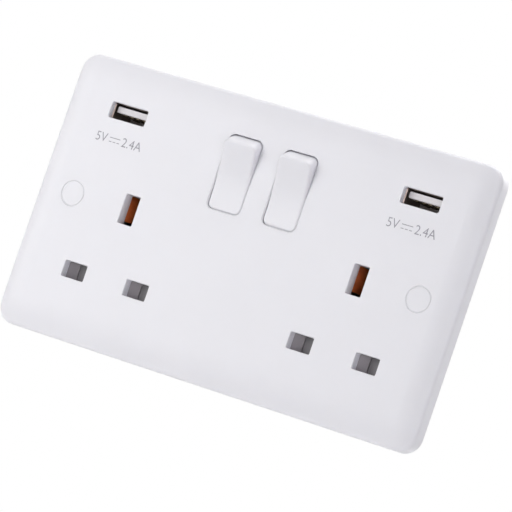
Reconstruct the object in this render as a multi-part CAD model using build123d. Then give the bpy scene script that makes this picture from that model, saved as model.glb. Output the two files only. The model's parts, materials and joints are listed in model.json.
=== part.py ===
from build123d import *
import math
import os

os.makedirs("parts", exist_ok=True)

# Frame: plate in XZ, front face towards -Y, up is +Z, wall plane at Y = 0.
# Depths run from the flat front face towards the wall box. All sizes in mm.

# Front plate
PLATE_W, PLATE_H, PLATE_DEPTH = 146.0, 86.0, 6.3
CORNER_R, EDGE_R = 5.5, 1.5
WALL, SKIRT = 3.0, 2.2
SIDE_ROLL, SIDE_ROLL_R = 7.0, 18.0
TOP_ROLL, TOP_ROLL_R = 10.0, 45.0

# Outlets: slot sizes, places, and how deep the pins of a plug reach
OUTLET_X, EARTH_Z, LINE_Z, PIN_X = 39.9, 0.13, -22.1, 11.115
EARTH_SLOT_W, EARTH_SLOT_H = 5.0, 9.1
LINE_SLOT_W, LINE_SLOT_H, SLOT_R, MOUTH_R = 7.9, 5.0, 0.4, 0.25
EARTH_COLLAR, COLLAR_RIM, COLLAR_R = 0.8, 2.1, 1.0
LINE_PIN, EARTH_PIN, PIN_END_GAP = 17.7, 22.7, 0.3
ROOT, OVERCUT = 0.5, 2.0

# Wall fixings and their caps
FIX_X, FIX_R, FIX_SEAT, FIX_BOSS_R = 60.3, 2.1, 4.0, 6.0
CAP_HOLE_R, CAP_GAP, CAP_LEDGE, CAP_SHOULDER, CAP_T, CAP_ROUND = 3.95, 0.12, 1.6, 0.35, 1.2, 0.3
CAP_SINK, CAP_RIM = 0.02, 0.35

# Rocker switches
ROCKER_X, ROCKER_Z, PIVOT_D = 9.6, 19.25, 4.8
OPENING_W, OPENING_H, OPENING_CORNER = 11.9, 23.1, 2.2
ROCKER_SIDE_GAP, ROCKER_END_GAP, ROCKER_WALL, ROCKER_LIP = 0.25, 0.31, 1.5, 0.7
REST_TILT, DISH_R, DISH_D, ROCKER_SKIRT = 10.0, 42.0, 5.3, 2.6
TRUNNION_R, TRUNNION_GAP, TRUNNION_LEN = 1.5, 0.05, 1.9
RIB_T, RIB_GAP, RIB_H, RIB_PROUD = 1.4, 0.6, 7.3, 0.7
POST_WEB_T, POST_SUNK = 1.4, 1.0
POST_R, POST_END, PLUNGER_R, PLUNGER_GAP, PLUNGER_REACH = 2.9, 4.4, 1.68, 0.1, 8.5
SPRING_FLOOR, SPRING_LEN, SPRING_WIRE, SPRING_TURNS, SPRING_R = -2.5, 4.3, 0.45, 4, 1.3

# Stamped brass and the switch contacts
BRASS_T, BEND_R, STRAP_W, STRAP_R, STRAP_LAP = 0.8, 1.0, 5.0, 0.8, 2.4
FEED_W, FEED_RISE, TAIL_W, TAIL_OVER, TAIL_UNDER = 3.0, 4.45, 4.0, 1.7, 1.9
TAIL_LAP, TAIL_START, LEFT_BEND, RIGHT_BEND, CROSS_OVER, CROSS_UNDER = 3.9, 2.0, 6.0, 1.4, 1.0, 2.0
EARTH_BAR_OVER, EARTH_BAR_UNDER, EARTH_LEG_W, EARTH_LEG_CLEAR = 1.8, 3.0, 14.4, 2.2
NEUTRAL_BAR_W, NEUTRAL_BAR_GAP, NEUTRAL_STOP = 2.4, 0.5, 4.0
ARM_VEE, ARM_LEN, ARM_W, ARM_LIFT, ARM_R = 12.0, 9.2, 5.0, 0.92, 1.2
TIP_R, TIP_T, TIP_REACH, TIP_GAP, FULCRUM_GAP = 1.6, 0.7, 7.6, 0.1, 0.03

# Plug contacts: half gaps at mouth, pinch and back, length of the lead-in, length of the heel
JAW_MOUTH, JAW_PINCH, JAW_BACK, JAW_LEAD, JAW_HEEL, JAW_W = 3.5, 2.15, 2.55, 2.5, 1.8, 5.6
CLIP_MOUTH, CLIP_PINCH, CLIP_BACK, CLIP_LEAD, CLIP_HEEL, CLIP_H = 3.3, 2.13, 2.6, 4.1, 2.6, 7.8
CLIP_LIFT, MOUTH_GAP = 0.57, 0.3

# Shutters
SHUTTER_TRAVEL, BLADE_LAP, BLADE_GAP, BLADE_LOW, SEAM_X = 4.4, 4.3, 0.1, 1.6, -1.1
SHUTTER_CLEAR, SHUTTER_T, BLADE_H, BAR_H, BAR_T = 0.2, 3.4, 5.8, 2.2, 2.2
KEEPER_T, KEEPER_R, RAIL_T, RAIL_GAP, RAIL_END = 1.2, 0.8, 1.6, 0.3, 0.8
PEG_R, PEG_GAP, PEG_OUT, PEG_PROUD = 0.7, 0.05, 1.6, 0.3
RETURN_R, RETURN_WIRE, RETURN_TURNS = 1.3, 0.4, 5

# Terminals
TERMINAL_PITCH, TERMINAL_W, TERMINAL_H, TERMINAL_Z = 10.0, 7.4, 8.4, -24.0
CONDUCTOR_R, PILLAR_FRONT, PILLAR_REAR, PILLAR_BEVEL = 1.9, 0.4, 1.8, 0.5
RIVET_R, RIVET_HEAD_R, RIVET_HEAD_T, RIVET_GAP = 1.5, 2.3, 0.7, 0.05
CLAMP_R, CLAMP_GAP, CLAMP_HEAD_R, CLAMP_HEAD_T, CLAMP_LIFT = 1.7, 0.05, 2.7, 1.4, 0.2

# Rear cover
COVER_WALL, COVER_CORNER, COVER_SEAT_GAP = 1.6, 2.4, 0.03
FLOOR_T, FLOOR_GAP, COVER_BEVEL = 1.8, 2.0, 0.8
BLADE_END_GAP, SHELL_HEADROOM, RAIL_FOOTROOM = 1.2, 1.9, 1.6
WAIST_CLEAR_X, WAIST_CLEAR_Z = 3.3, 4.0
BAY_WALL, BAY_SIDE, BAY_HEADROOM, BARRIER_T, BARRIER_DROP, BARRIER_PROUD = 1.4, 1.8, 2.8, 1.4, 2.8, 0.4
WELL_R, WELL_BORE_R, WELL_START, WELL_SEAT, WELL_CLEAR, WELL_RISE = 3.4, 2.7, 8.0, 2.0, 0.6, 1.5
BOSS_R, AXLE_STAY_H, FEED_STAY_W, FEED_STAY_H = 3.1, 2.5, 6.8, 2.2
EARTH_STAY_IN, EARTH_STAY_W, EARTH_STAY_H, EARTH_STAY_DROP = 3.0, 2.0, 4.0, 0.4
JAW_STAY_W, JAW_STAY_H, JAW_STAY_DROP, TAIL_STAY_W, TAIL_STAY_H, TAIL_STAY_Z = 4.0, 1.2, 2.8, 3.2, 2.0, 5.0
BOARD_POST_R, BOARD_POST_EDGE = 1.5, 1.7
SCREW_R, SCREW_GAP, SCREW_HEAD_R, SCREW_HEAD_T, SCREW_BITE = 1.2, 0.05, 2.5, 1.7, 4.2
SCREW_HOLE_R, SCREW_END_GAP, DRIVE_SLOT = 1.6, 0.3, 0.9

# Charger
USB_X, USB_Z, USB_W, USB_H, USB_R, USB_MOUTH = 51.0, 27.65, 12.9, 4.95, 0.6, 2.2
SHELL_W, SHELL_H, SHELL_T, SHELL_R, SHELL_GAP, SHELL_FIT = 13.3, 5.7, 0.35, 0.6, 0.2, 0.02
LEAF_X, LEAF_W, LEAF_GAP, LEAF_START, LEAF_LEN, LEAF_RISE, LEAF_R = 3.0, 1.6, 0.4, 4.3, 4.5, 0.4, 0.6
TONGUE_W, TONGUE_T, TONGUE_R, TONGUE_RISE, TONGUE_FRONT, TONGUE_BASE = 11.1, 1.84, 0.25, 0.75, 2.8, 13.0
STRIP_W, STRIP_T, STRIP_GAP, STRIP_START, STRIP_X = 1.0, 0.34, 0.05, 1.7, (-3.5, -1.0, 1.0, 3.5)
BOARD_T, BOARD_GAP, BOARD_EDGE, BOARD_SIDE_GAP, BOARD_TOP_GAP, NOTCH_RISE = 1.6, 0.2, 0.8, 2.1, 0.5, 3.15
CORE_W, CORE_H, CORE_T, CORE_LIMB, CORE_LIFT, CORE_IN, CORE_FOOT = 14.0, 9.4, 9.6, 2.4, 0.8, 1.4, 1.2
COIL_PROUD, COIL_TOP, COIL_OVER_X, COIL_OVER_Z = 1.2, 2.0, 2.2, 3.4
BULK_R, BULK_LEN, OUTPUT_R, OUTPUT_LEN, CAN_ROUND, CAN_IN, CAN_RISE = 4.4, 12.2, 3.2, 10.6, 0.6, 1.6, 5.7
CRIMP_START, CRIMP_END, CRIMP_DEPTH = 2.2, 1.4, 0.35
CHIP_W, CHIP_T, CHIP_H, BRIDGE_W, BRIDGE_T, BRIDGE_H = 5.0, 1.6, 6.2, 4.6, 3.4, 6.6
BRIDGE_IN, BRIDGE_RISE, PART_GAP, FUSE_LEN = 5.1, 6.1, 0.8, 8.0
DISC_W, DISC_H, DISC_R, DISC_OUT, DISC_CLEAR = 8.6, 5.6, 2.4, 8.0, 0.5
LEAD_R, LEAD_CLEAR, LEAD_DIP, LEAD_END = 0.65, 1.2, 1.9, 1.4
LEAD_FOOT_IN, LEAD_CURL, LEAD_OVER, LEAD_SPREAD, LEAD_DROP = 0.2, 3.0, 1.0, 2.4, 5.6

# Places that follow from the sizes above
SIDES = {"left": -1, "right": 1}
LIVE_X = {"left": PIN_X - OUTLET_X, "right": PIN_X + OUTLET_X}
NEUTRAL_X = {"left": -PIN_X - OUTLET_X, "right": OUTLET_X - PIN_X}
SHUTTER_D = WALL + SHUTTER_CLEAR
SHUTTER_BACK = SHUTTER_D + SHUTTER_T
KEEPER_D = SHUTTER_BACK + SHUTTER_CLEAR
WEB_D = LINE_PIN + PIN_END_GAP
BUS_D = WEB_D + BRASS_T
BUS_BACK = BUS_D + BRASS_T
EARTH_WEB = EARTH_PIN + PIN_END_GAP
EARTH_BUS = EARTH_WEB + BRASS_T
COVER_D = EARTH_BUS + BRASS_T + FLOOR_GAP + FLOOR_T
COVER_FLOOR = COVER_D - FLOOR_T
RAIL_TOP = LINE_Z + BLADE_H / 2 + BAR_H + RAIL_GAP
RAIL_LOW = 2 * LINE_Z - RAIL_TOP
COVER_X = OUTLET_X + PIN_X + BLADE_LAP + SHUTTER_TRAVEL + BLADE_END_GAP + COVER_WALL
COVER_TOP = USB_Z + SHELL_H / 2 + SHELL_HEADROOM + COVER_WALL
COVER_BOTTOM = RAIL_LOW - RAIL_T - RAIL_FOOTROOM - COVER_WALL
WAIST_X, WAIST_Z = FIX_X - FIX_BOSS_R - WAIST_CLEAR_X, FIX_BOSS_R + WAIST_CLEAR_Z
OPENING_R = math.hypot(OPENING_H / 2, PIVOT_D)
ROCKER_R, ROCKER_W = OPENING_R - ROCKER_END_GAP, OPENING_W - 2 * ROCKER_SIDE_GAP
RIB_X = ROCKER_W / 2 + RIB_GAP + RIB_T / 2
APEX_D = PIVOT_D + PLUNGER_REACH + ARM_LIFT
FEED_Z = ROCKER_Z - ROCKER_R + FEED_RISE
WELL_Z = FEED_Z - FEED_W / 2 - WELL_R - WELL_CLEAR
TERMINALS = {n: TERMINAL_PITCH * k for n, k in
             (("live", -1.5), ("earth_a", -0.5), ("earth_b", 0.5), ("neutral", 1.5))}
BAY_X = 1.5 * TERMINAL_PITCH + TERMINAL_W / 2 + BAY_SIDE
BAY_TOP = TERMINAL_Z + TERMINAL_H / 2 + BAY_HEADROOM
PILLAR_D = BUS_BACK + BAY_WALL
CONDUCTOR_D = PILLAR_D + PILLAR_FRONT + CONDUCTOR_R
PILLAR_BACK = CONDUCTOR_D + CONDUCTOR_R + PILLAR_REAR
COVER_SCREWS = [(s * OUTLET_X, (EARTH_Z + LINE_Z) / 2 + WELL_RISE) for s in SIDES.values()] + [(0.0, WELL_Z)]
LEG_X = OUTLET_X - PIN_X
BOARD_D = BUS_D + BOARD_GAP
BOARD_X, BOARD_TOP = COVER_X - COVER_WALL - BOARD_SIDE_GAP, COVER_TOP - COVER_WALL - BOARD_TOP_GAP
BOARD_LOW, BOARD_NOTCH = WAIST_Z + COVER_WALL + BOARD_EDGE, ROCKER_Z + NOTCH_RISE
BOARD_IN = LEG_X + STRAP_W / 2 + BOARD_EDGE


def block(x0, x1, d0, d1, z0, z1):
    """Box between two limits on each axis."""
    centre = Pos((x0 + x1) / 2, (d0 + d1) / 2 - PLATE_DEPTH, (z0 + z1) / 2)
    return centre * Box(x1 - x0, d1 - d0, z1 - z0)


def slab(x, w, d0, d1, z, h):
    """Box given by its middle and size in the plate's plane."""
    return block(x - w / 2, x + w / 2, d0, d1, z - h / 2, z + h / 2)


def rod_y(x, z, r, d0, d1):
    """Cylinder along the depth."""
    return Pos(x, (d0 + d1) / 2 - PLATE_DEPTH, z) * Rot(90, 0, 0) * Cylinder(r, d1 - d0)


def rod_x(d, z, r, x0, x1):
    """Cylinder along the width."""
    return Pos((x0 + x1) / 2, d - PLATE_DEPTH, z) * Rot(0, 90, 0) * Cylinder(r, x1 - x0)


def rod_z(x, d, r, z0, z1):
    """Cylinder along the height."""
    return Pos(x, d - PLATE_DEPTH, (z0 + z1) / 2) * Cylinder(r, z1 - z0)


def bar(x, z, w, h, r, d0, d1):
    """Rectangle with round corners in the plate's plane, drawn through the depth."""
    return Pos(x, d1 - PLATE_DEPTH, z) * extrude(Plane.XZ * RectangleRounded(w, h, r), d1 - d0)


def plate_prism(points, d0, d1):
    """Closed (x, z) outline drawn through the depth."""
    face = make_face(Polyline(*points, close=True))
    return Pos(0, d1 - PLATE_DEPTH, 0) * extrude(Plane.XZ * face, d1 - d0)


def side_prism(points, x, w):
    """Closed (depth, z) outline drawn along the width about x."""
    face = make_face(Polyline(*[(d - PLATE_DEPTH, z) for d, z in points], close=True))
    return Pos(x - w / 2, 0, 0) * extrude(Plane.YZ * face, w)


def stamping(rects, d0, t=BRASS_T):
    """Flat stamped strap: rectangles (x0, x1, z0, z1) joined, corners rounded."""
    shape = Sketch()
    for x0, x1, z0, z1 in rects:
        shape += Pos((x0 + x1) / 2, (z0 + z1) / 2) * Rectangle(x1 - x0, z1 - z0)
    shape = fillet(shape.vertices(), STRAP_R)
    return Pos(0, d0 + t - PLATE_DEPTH, 0) * extrude(Plane.XZ * shape, t)


def upright(x, z0, z1, w=STRAP_W):
    """Rectangle of a strap that runs up the plate."""
    return x - w / 2, x + w / 2, z0, z1


def strip(points, t=BRASS_T, r=BEND_R):
    """Face of a bent strip of thickness t along a centre line, with rounded bends."""
    return trace(FilletPolyline(*points, radius=r), line_width=t)


def folded(points, x, w, t=BRASS_T, r=BEND_R):
    """Strip bent along (depth, z) points, drawn along the width about x."""
    face = strip([(d - PLATE_DEPTH, z) for d, z in points], t, r)
    return Pos(x - w / 2, 0, 0) * extrude(Plane.YZ * face, w)


def coil(radius, length, turns, wire):
    """Compression spring of round wire along +Z from the origin."""
    path = Helix(pitch=(length - wire) / turns, height=length - wire, radius=radius)
    start = Plane(origin=path @ 0, z_dir=path % 0, x_dir=(1, 0, 0))
    return Pos(0, 0, wire / 2) * sweep(start * Circle(wire / 2), path=path, is_frenet=True)


def save(part, node, group=False):
    """Write one node, as one solid or as a group of like solids."""
    solids = part.solids()
    assert group or len(solids) == 1, (node, len(solids))
    export_step(part if group else solids[0], f"parts/{node}.step")


def roll_line(half, start, radius, over=2.0):
    """Flat line with a downward arc at each end, reaching past the plate's edge."""
    flat, reach = half - start, start + over
    turn = math.asin(reach / radius)
    mid = (flat + radius * math.sin(turn / 2), radius * (1 - math.cos(turn / 2)))
    end = (flat + reach, radius * (1 - math.cos(turn)))
    return [
        ThreePointArc((-end[0], end[1]), (-mid[0], mid[1]), (-flat, 0)),
        Line((-flat, 0), (flat, 0)),
        ThreePointArc((flat, 0), mid, end),
    ]


def crowned_block():
    """Deep block whose front carries the plate's rolled-off edges."""
    path = Wire(roll_line(PLATE_W / 2, SIDE_ROLL, SIDE_ROLL_R))
    lines = roll_line(PLATE_H / 2, TOP_ROLL, TOP_ROLL_R)
    ends = (lines[0] @ 0, lines[2] @ 1)
    low = [(p.X, COVER_D) for p in ends]
    face = make_face([*lines, Polyline(ends[1], low[1], low[0], ends[0])])
    start = path @ 0
    section = Plane(origin=(start.X, start.Y, 0), x_dir=(0, 0, 1), z_dir=(-1, 0, 0)) * face
    return Pos(0, -PLATE_DEPTH, 0) * sweep(section, path=path, normal=(1, 0, 0))


def wheel(r, w, corner):
    """Disc about the rocker's pivot line with rounded rims; cut to make rocker and opening."""
    disc = Rot(0, 90, 0) * Cylinder(r, w)
    return fillet(disc.edges().filter_by(GeomType.CIRCLE), corner)


def at_pivot(part, x, tilt=0.0):
    """Place a piece drawn about the pivot line."""
    return Pos(x, PIVOT_D - PLATE_DEPTH, ROCKER_Z) * Rot(tilt, 0, 0) * part


def peg_places(xo):
    """Middles of the four keeper pegs of one outlet."""
    reach = PIN_X + BLADE_LAP + PEG_OUT
    return [(xo + u, z) for u in (-reach, reach) for z in (RAIL_TOP + RAIL_T / 2, RAIL_LOW - RAIL_T / 2)]


def keeper_width():
    """Width of the shutter keeper and its rails."""
    return 2 * (PIN_X + BLADE_LAP + SHUTTER_TRAVEL + RAIL_END)


def build_front_plate():
    crown = crowned_block()
    body = crown & bar(0, 0, PLATE_W, PLATE_H, CORNER_R, -1, PLATE_DEPTH)
    skirt = [f for f in body.faces() if abs(f.normal_at().Y) < 0.1]
    rim = [e for f in skirt for e in f.edges() if e.bounding_box().max.Y < -0.5]
    body = fillet(rim, EDGE_R)
    inner = bar(0, 0, PLATE_W - 2 * SKIRT, PLATE_H - 2 * SKIRT, CORNER_R - SKIRT, 0, PLATE_DEPTH + 1)
    body -= (Pos(0, WALL, 0) * crown) & inner
    root, seat = WALL - ROOT, TRUNNION_R + TRUNNION_GAP
    for s in SIDES.values():
        xo = s * OUTLET_X
        body += rod_y(s * FIX_X, 0, FIX_BOSS_R, root, PLATE_DEPTH)
        body += bar(xo, EARTH_Z, EARTH_SLOT_W + 2 * COLLAR_RIM, EARTH_SLOT_H + 2 * COLLAR_RIM,
                    COLLAR_R, root, WALL + EARTH_COLLAR)
        body += slab(xo, keeper_width(), root, KEEPER_D, RAIL_TOP + RAIL_T / 2, RAIL_T)
        body += slab(xo, keeper_width(), root, KEEPER_D, RAIL_LOW - RAIL_T / 2, RAIL_T)
        for x, z in peg_places(xo):
            body += rod_y(x, z, PEG_R, root, KEEPER_D + KEEPER_T + PEG_PROUD)
        for side in (-RIB_X, RIB_X):
            rx = s * ROCKER_X + side
            rib = slab(rx, RIB_T, root, PIVOT_D + TRUNNION_R + RIB_PROUD, ROCKER_Z, RIB_H)
            rib -= rod_x(PIVOT_D, ROCKER_Z, seat, rx - RIB_T, rx + RIB_T)
            rib -= slab(rx, 2 * RIB_T, PIVOT_D, PIVOT_D + seat + RIB_PROUD + OVERCUT, ROCKER_Z, 2 * seat)
            body += rib
    for x, z in COVER_SCREWS:
        body += rod_y(x, z, BOSS_R, root, WELL_START)
        body -= rod_y(x, z, SCREW_R + SCREW_GAP, WELL_START - SCREW_BITE - SCREW_END_GAP, WELL_START + 1)
    for s in SIDES.values():
        xo, xr, xu, xf = s * OUTLET_X, s * ROCKER_X, s * USB_X, s * FIX_X
        body -= bar(xo, EARTH_Z, EARTH_SLOT_W, EARTH_SLOT_H, SLOT_R, -1, WALL + OVERCUT)
        for pin in (-PIN_X, PIN_X):
            body -= bar(xo + pin, LINE_Z, LINE_SLOT_W, LINE_SLOT_H, SLOT_R, -1, WALL + OVERCUT)
        hole = at_pivot(wheel(OPENING_R, OPENING_W, OPENING_CORNER), xr)
        body -= hole & slab(xr, 2 * OPENING_W, -OPENING_R, PIVOT_D, ROCKER_Z, 3 * OPENING_R)
        body -= bar(xu, USB_Z, USB_W, USB_H, USB_R, -1, WALL + OVERCUT)
        body -= slab(xu, SHELL_W + 2 * SHELL_GAP, USB_MOUTH - SHELL_GAP, WALL + OVERCUT, USB_Z,
                     SHELL_H + 2 * SHELL_GAP)
        body -= rod_y(xf, 0, CAP_HOLE_R, -1, CAP_LEDGE)
        body -= rod_y(xf, 0, CAP_HOLE_R - CAP_SHOULDER, 0, FIX_SEAT)
        body -= rod_y(xf, 0, FIX_R, 0, PLATE_DEPTH + 1)
    reach_x, reach_z = PLATE_W / 2 - SIDE_ROLL - 0.5, PLATE_H / 2 - TOP_ROLL - 0.5
    mouths = [e for e in body.edges() if e.bounding_box().max.Y < 0.001 - PLATE_DEPTH
              and abs(e.center().X) < reach_x and abs(e.center().Z) < reach_z]
    return fillet(mouths, MOUTH_R)


def build_cap(x):
    """Push-in cap on the ledge over a fixing screw, hollow behind."""
    r = CAP_HOLE_R - CAP_GAP
    cap = rod_y(x, 0, r, CAP_SINK, CAP_LEDGE)
    cap = fillet(cap.edges().sort_by(Axis.Y)[0], CAP_ROUND)
    return cap - rod_y(x, 0, r - CAP_SHOULDER - CAP_RIM, CAP_T, CAP_LEDGE + 1)


def cover_outline(inset):
    """Rear cover outline with a waist at each fixing screw."""
    x, w = COVER_X - inset, WAIST_X - inset
    top, low, z = COVER_TOP - inset, COVER_BOTTOM + inset, WAIST_Z + inset
    half = [(x, low), (x, -z), (w, -z), (w, z), (x, z), (x, top)]
    return half + [(-a, b) for a, b in half[::-1]]


def build_rear_cover():
    body = plate_prism(cover_outline(0), WALL + COVER_SEAT_GAP, COVER_D)
    body = fillet(body.edges().filter_by(Axis.Y), COVER_CORNER)
    body = chamfer(body.faces().sort_by(Axis.Y)[-1].edges(), COVER_BEVEL)
    hollow = plate_prism(cover_outline(COVER_WALL), WALL - 1, COVER_FLOOR)
    body -= fillet(hollow.edges().filter_by(Axis.Y), COVER_CORNER - COVER_WALL)
    w = COVER_WALL
    body += block(-BAY_X - w, BAY_X + w, BUS_BACK, COVER_D, COVER_BOTTOM, BAY_TOP + w)
    body -= block(-BAY_X, BAY_X, PILLAR_D, COVER_D + 1, COVER_BOTTOM - 1, BAY_TOP)
    for x in TERMINALS.values():
        body -= rod_y(x, TERMINAL_Z, RIVET_R + 2 * RIVET_GAP, BUS_BACK - 1, PILLAR_D + 1)
    low = TERMINAL_Z - TERMINAL_H / 2 - BARRIER_DROP
    for k in (-1, 0, 1):
        x = k * TERMINAL_PITCH
        body += block(x - BARRIER_T / 2, x + BARRIER_T / 2, PILLAR_D - ROOT, PILLAR_BACK + BARRIER_PROUD,
                      low, BAY_TOP + ROOT)
    for x, z in COVER_SCREWS:
        body += rod_y(x, z, WELL_R, WELL_START, COVER_D)
        body -= rod_y(x, z, WELL_BORE_R, WELL_START + WELL_SEAT, COVER_D + 1)
        body -= rod_y(x, z, SCREW_HOLE_R, WELL_START - 1, COVER_D)
    floor, axle_back = COVER_FLOOR + ROOT, PIVOT_D + TRUNNION_R + TRUNNION_GAP
    for side, s in SIDES.items():
        for u in (-RIB_X, RIB_X):
            body += slab(s * ROCKER_X + u, RIB_T, axle_back, floor, ROCKER_Z, AXLE_STAY_H)
        body += slab(s * ROCKER_X, FEED_STAY_W, BUS_BACK, floor, FEED_Z, FEED_STAY_H)
        body += slab(s * (OUTLET_X - EARTH_STAY_IN), EARTH_STAY_W, EARTH_BUS + BRASS_T, floor,
                     EARTH_Z - EARTH_STAY_DROP, EARTH_STAY_H)
        for x in (LIVE_X[side], NEUTRAL_X[side]):
            body += slab(x, JAW_STAY_W, BUS_BACK, floor, LINE_Z - JAW_STAY_DROP, JAW_STAY_H)
        body += slab(s * LEG_X, TAIL_STAY_W, TAIL_D + BRASS_T, floor, TAIL_STAY_Z, TAIL_STAY_H)
        edge_x, low, top = BOARD_X - BOARD_POST_EDGE, BOARD_LOW + BOARD_POST_EDGE, BOARD_TOP - BOARD_POST_EDGE
        for x, z in ((edge_x, low), (edge_x, top), (BOARD_IN + BOARD_POST_EDGE, low)):
            body += rod_y(s * x, z, BOARD_POST_R, BOARD_D + BOARD_T, floor)
    return body


def build_rocker():
    """Rocker drawn in its middle position about the pivot."""
    far = ROCKER_R + 1
    rise = DISH_R - math.sqrt(DISH_R ** 2 - far ** 2)

    def shape(push, back):
        edge, middle = push - DISH_D - rise, push - DISH_D
        front = ThreePointArc((edge, far), (middle, 0), (edge, -far))
        face = make_face([front, Polyline((edge, -far), (back, -far), (back, far), (edge, far))])
        return Pos(-ROCKER_W, 0, 0) * extrude(Plane.YZ * face, 2 * ROCKER_W)

    outer = wheel(ROCKER_R, ROCKER_W, OPENING_CORNER - 0.2) & shape(0, ROCKER_SKIRT)
    dish = min(outer.faces(), key=lambda f: f.normal_at().Y)
    outer = fillet(dish.edges(), ROCKER_LIP)
    hollow = (Rot(0, 90, 0) * Cylinder(ROCKER_R - ROCKER_WALL, ROCKER_W - 2 * ROCKER_WALL)) & shape(
        ROCKER_WALL + 0.2, ROCKER_SKIRT + 2)
    body = outer - hollow
    top = POST_SUNK - DISH_D
    body += Pos(0, (POST_END + top) / 2, 0) * Rot(90, 0, 0) * Cylinder(POST_R, POST_END - top)
    body += Pos(0, (top + POST_WEB_T) / 2, 0) * Box(ROCKER_W - ROCKER_WALL, POST_WEB_T - top, POST_WEB_T)
    inner = ROCKER_W / 2 - ROCKER_WALL
    span = ROCKER_W / 2 + TRUNNION_LEN - inner
    for s in (-1, 1):
        body += Pos(s * (inner + span / 2), 0, 0) * Rot(0, 90, 0) * Cylinder(TRUNNION_R, span)
    depth = POST_END - SPRING_FLOOR + 1
    bore = Rot(90, 0, 0) * Cylinder(PLUNGER_R + PLUNGER_GAP, depth)
    return body - Pos(0, SPRING_FLOOR + depth / 2, 0) * bore


def build_plunger():
    """Round-nosed plunger carried in the rocker's post."""
    start, nose = SPRING_FLOOR + SPRING_LEN, PLUNGER_REACH - PLUNGER_R
    body = Pos(0, (start + nose) / 2, 0) * Rot(90, 0, 0) * Cylinder(PLUNGER_R, nose - start)
    return body + Pos(0, nose, 0) * Sphere(PLUNGER_R)


def arm_line(sign, reach, lift):
    """Point on the see-saw contact arm at rest: reach along it, lift off its rear face."""
    a = math.radians(ARM_VEE - sign * REST_TILT)
    d = APEX_D - reach * math.sin(a) + lift * math.cos(a)
    return d, ROCKER_Z + sign * (reach * math.cos(a) + lift * math.sin(a))


TIP_D = arm_line(1, TIP_REACH, TIP_T)[0] + TIP_GAP
TAIL_D = TIP_D + TIP_T
TAIL_Z = arm_line(1, TIP_REACH, TIP_T)[1]


def build_contact_arm(x):
    a, b = math.radians(ARM_VEE), math.radians(REST_TILT)
    t = BRASS_T / math.cos(a)
    apex = (APEX_D - t * math.cos(b), ROCKER_Z + t * math.sin(b))
    pts = [arm_line(1, ARM_LEN, 0), arm_line(1, ARM_LEN, -BRASS_T), apex,
           arm_line(-1, ARM_LEN, -BRASS_T), arm_line(-1, ARM_LEN, 0), (APEX_D, ROCKER_Z)]
    body = side_prism(pts, x, ARM_W)
    ends = [e for e in body.edges() if abs(e.center().Z - ROCKER_Z) > ARM_LEN * 0.9
            and abs(abs(e.center().X - x) - ARM_W / 2) < 0.01]
    return fillet(ends, ARM_R)


def build_moving_tip(x):
    """Silver rivet on the arm's rear face."""
    d, z = arm_line(1, TIP_REACH, 0)
    turn = Rot(ARM_VEE - REST_TILT - 90, 0, 0) * Pos(0, 0, TIP_T / 2)
    return Pos(x, d - PLATE_DEPTH, z) * turn * Cylinder(TIP_R, TIP_T)


def clip_line(mouth, back, gaps, lead, heel):
    """Centre line (depth, half gap) of a folded clip, from one mouth round its back to the other."""
    wide, pinch, rear = gaps
    half = [(mouth, wide), (mouth + lead, pinch), (back - heel, rear), (back, rear)]
    return half + [(d, -u) for d, u in half[::-1]]


def build_jaw(x):
    """Line or neutral contact: folded clip that grips above and below the flat pin."""
    mouth, back = KEEPER_D + KEEPER_T + MOUTH_GAP, WEB_D + BRASS_T / 2
    line = clip_line(mouth, back, (JAW_MOUTH, JAW_PINCH, JAW_BACK), JAW_LEAD, JAW_HEEL)
    return folded([(d, LINE_Z + u) for d, u in line], x, JAW_W)


def build_earth_clip(x):
    """Earth contact: folded clip that grips the sides of the tall pin."""
    mouth, back = WALL + EARTH_COLLAR + MOUTH_GAP, EARTH_WEB + BRASS_T / 2
    line = clip_line(mouth, back, (CLIP_MOUTH, CLIP_PINCH, CLIP_BACK), CLIP_LEAD, CLIP_HEEL)
    face = strip([(u, d - PLATE_DEPTH) for d, u in line])
    return Pos(x, 0, EARTH_Z + CLIP_LIFT - CLIP_H / 2) * extrude(face, CLIP_H)


def build_earth_strap():
    mid, bus = EARTH_BUS + BRASS_T / 2, BUS_D + BRASS_T / 2
    end = OUTLET_X + CLIP_BACK
    body = stamping([(-end, end, EARTH_Z - EARTH_BAR_UNDER, EARTH_Z + EARTH_BAR_OVER)], EARTH_BUS)
    bend = BAY_TOP + COVER_WALL + EARTH_LEG_CLEAR
    leg = [(mid, EARTH_Z), (mid, bend + mid - bus), (bus, bend), (bus, TERMINAL_Z - STRAP_LAP)]
    body += folded(leg, 0, EARTH_LEG_W)
    for n in ("earth_a", "earth_b"):
        body -= rod_y(TERMINALS[n], TERMINAL_Z, RIVET_R + RIVET_GAP, BUS_D - 1, BUS_BACK + 1)
    return body


def build_neutral_strap():
    low = COVER_BOTTOM + COVER_WALL + NEUTRAL_BAR_GAP
    xs = [NEUTRAL_X["left"], NEUTRAL_X["right"]]
    rects = [(xs[0] - STRAP_W / 2, xs[1] + STRAP_W / 2, low, low + NEUTRAL_BAR_W)]
    rects += [upright(x, low, LINE_Z + STRAP_LAP) for x in xs]
    rects += [upright(TERMINALS["neutral"], low, FEED_Z - STRAP_W / 2 - NEUTRAL_STOP)]
    body = stamping(rects, BUS_D)
    return body - rod_y(TERMINALS["neutral"], TERMINAL_Z, RIVET_R + RIVET_GAP, BUS_D - 1, BUS_BACK + 1)


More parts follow.
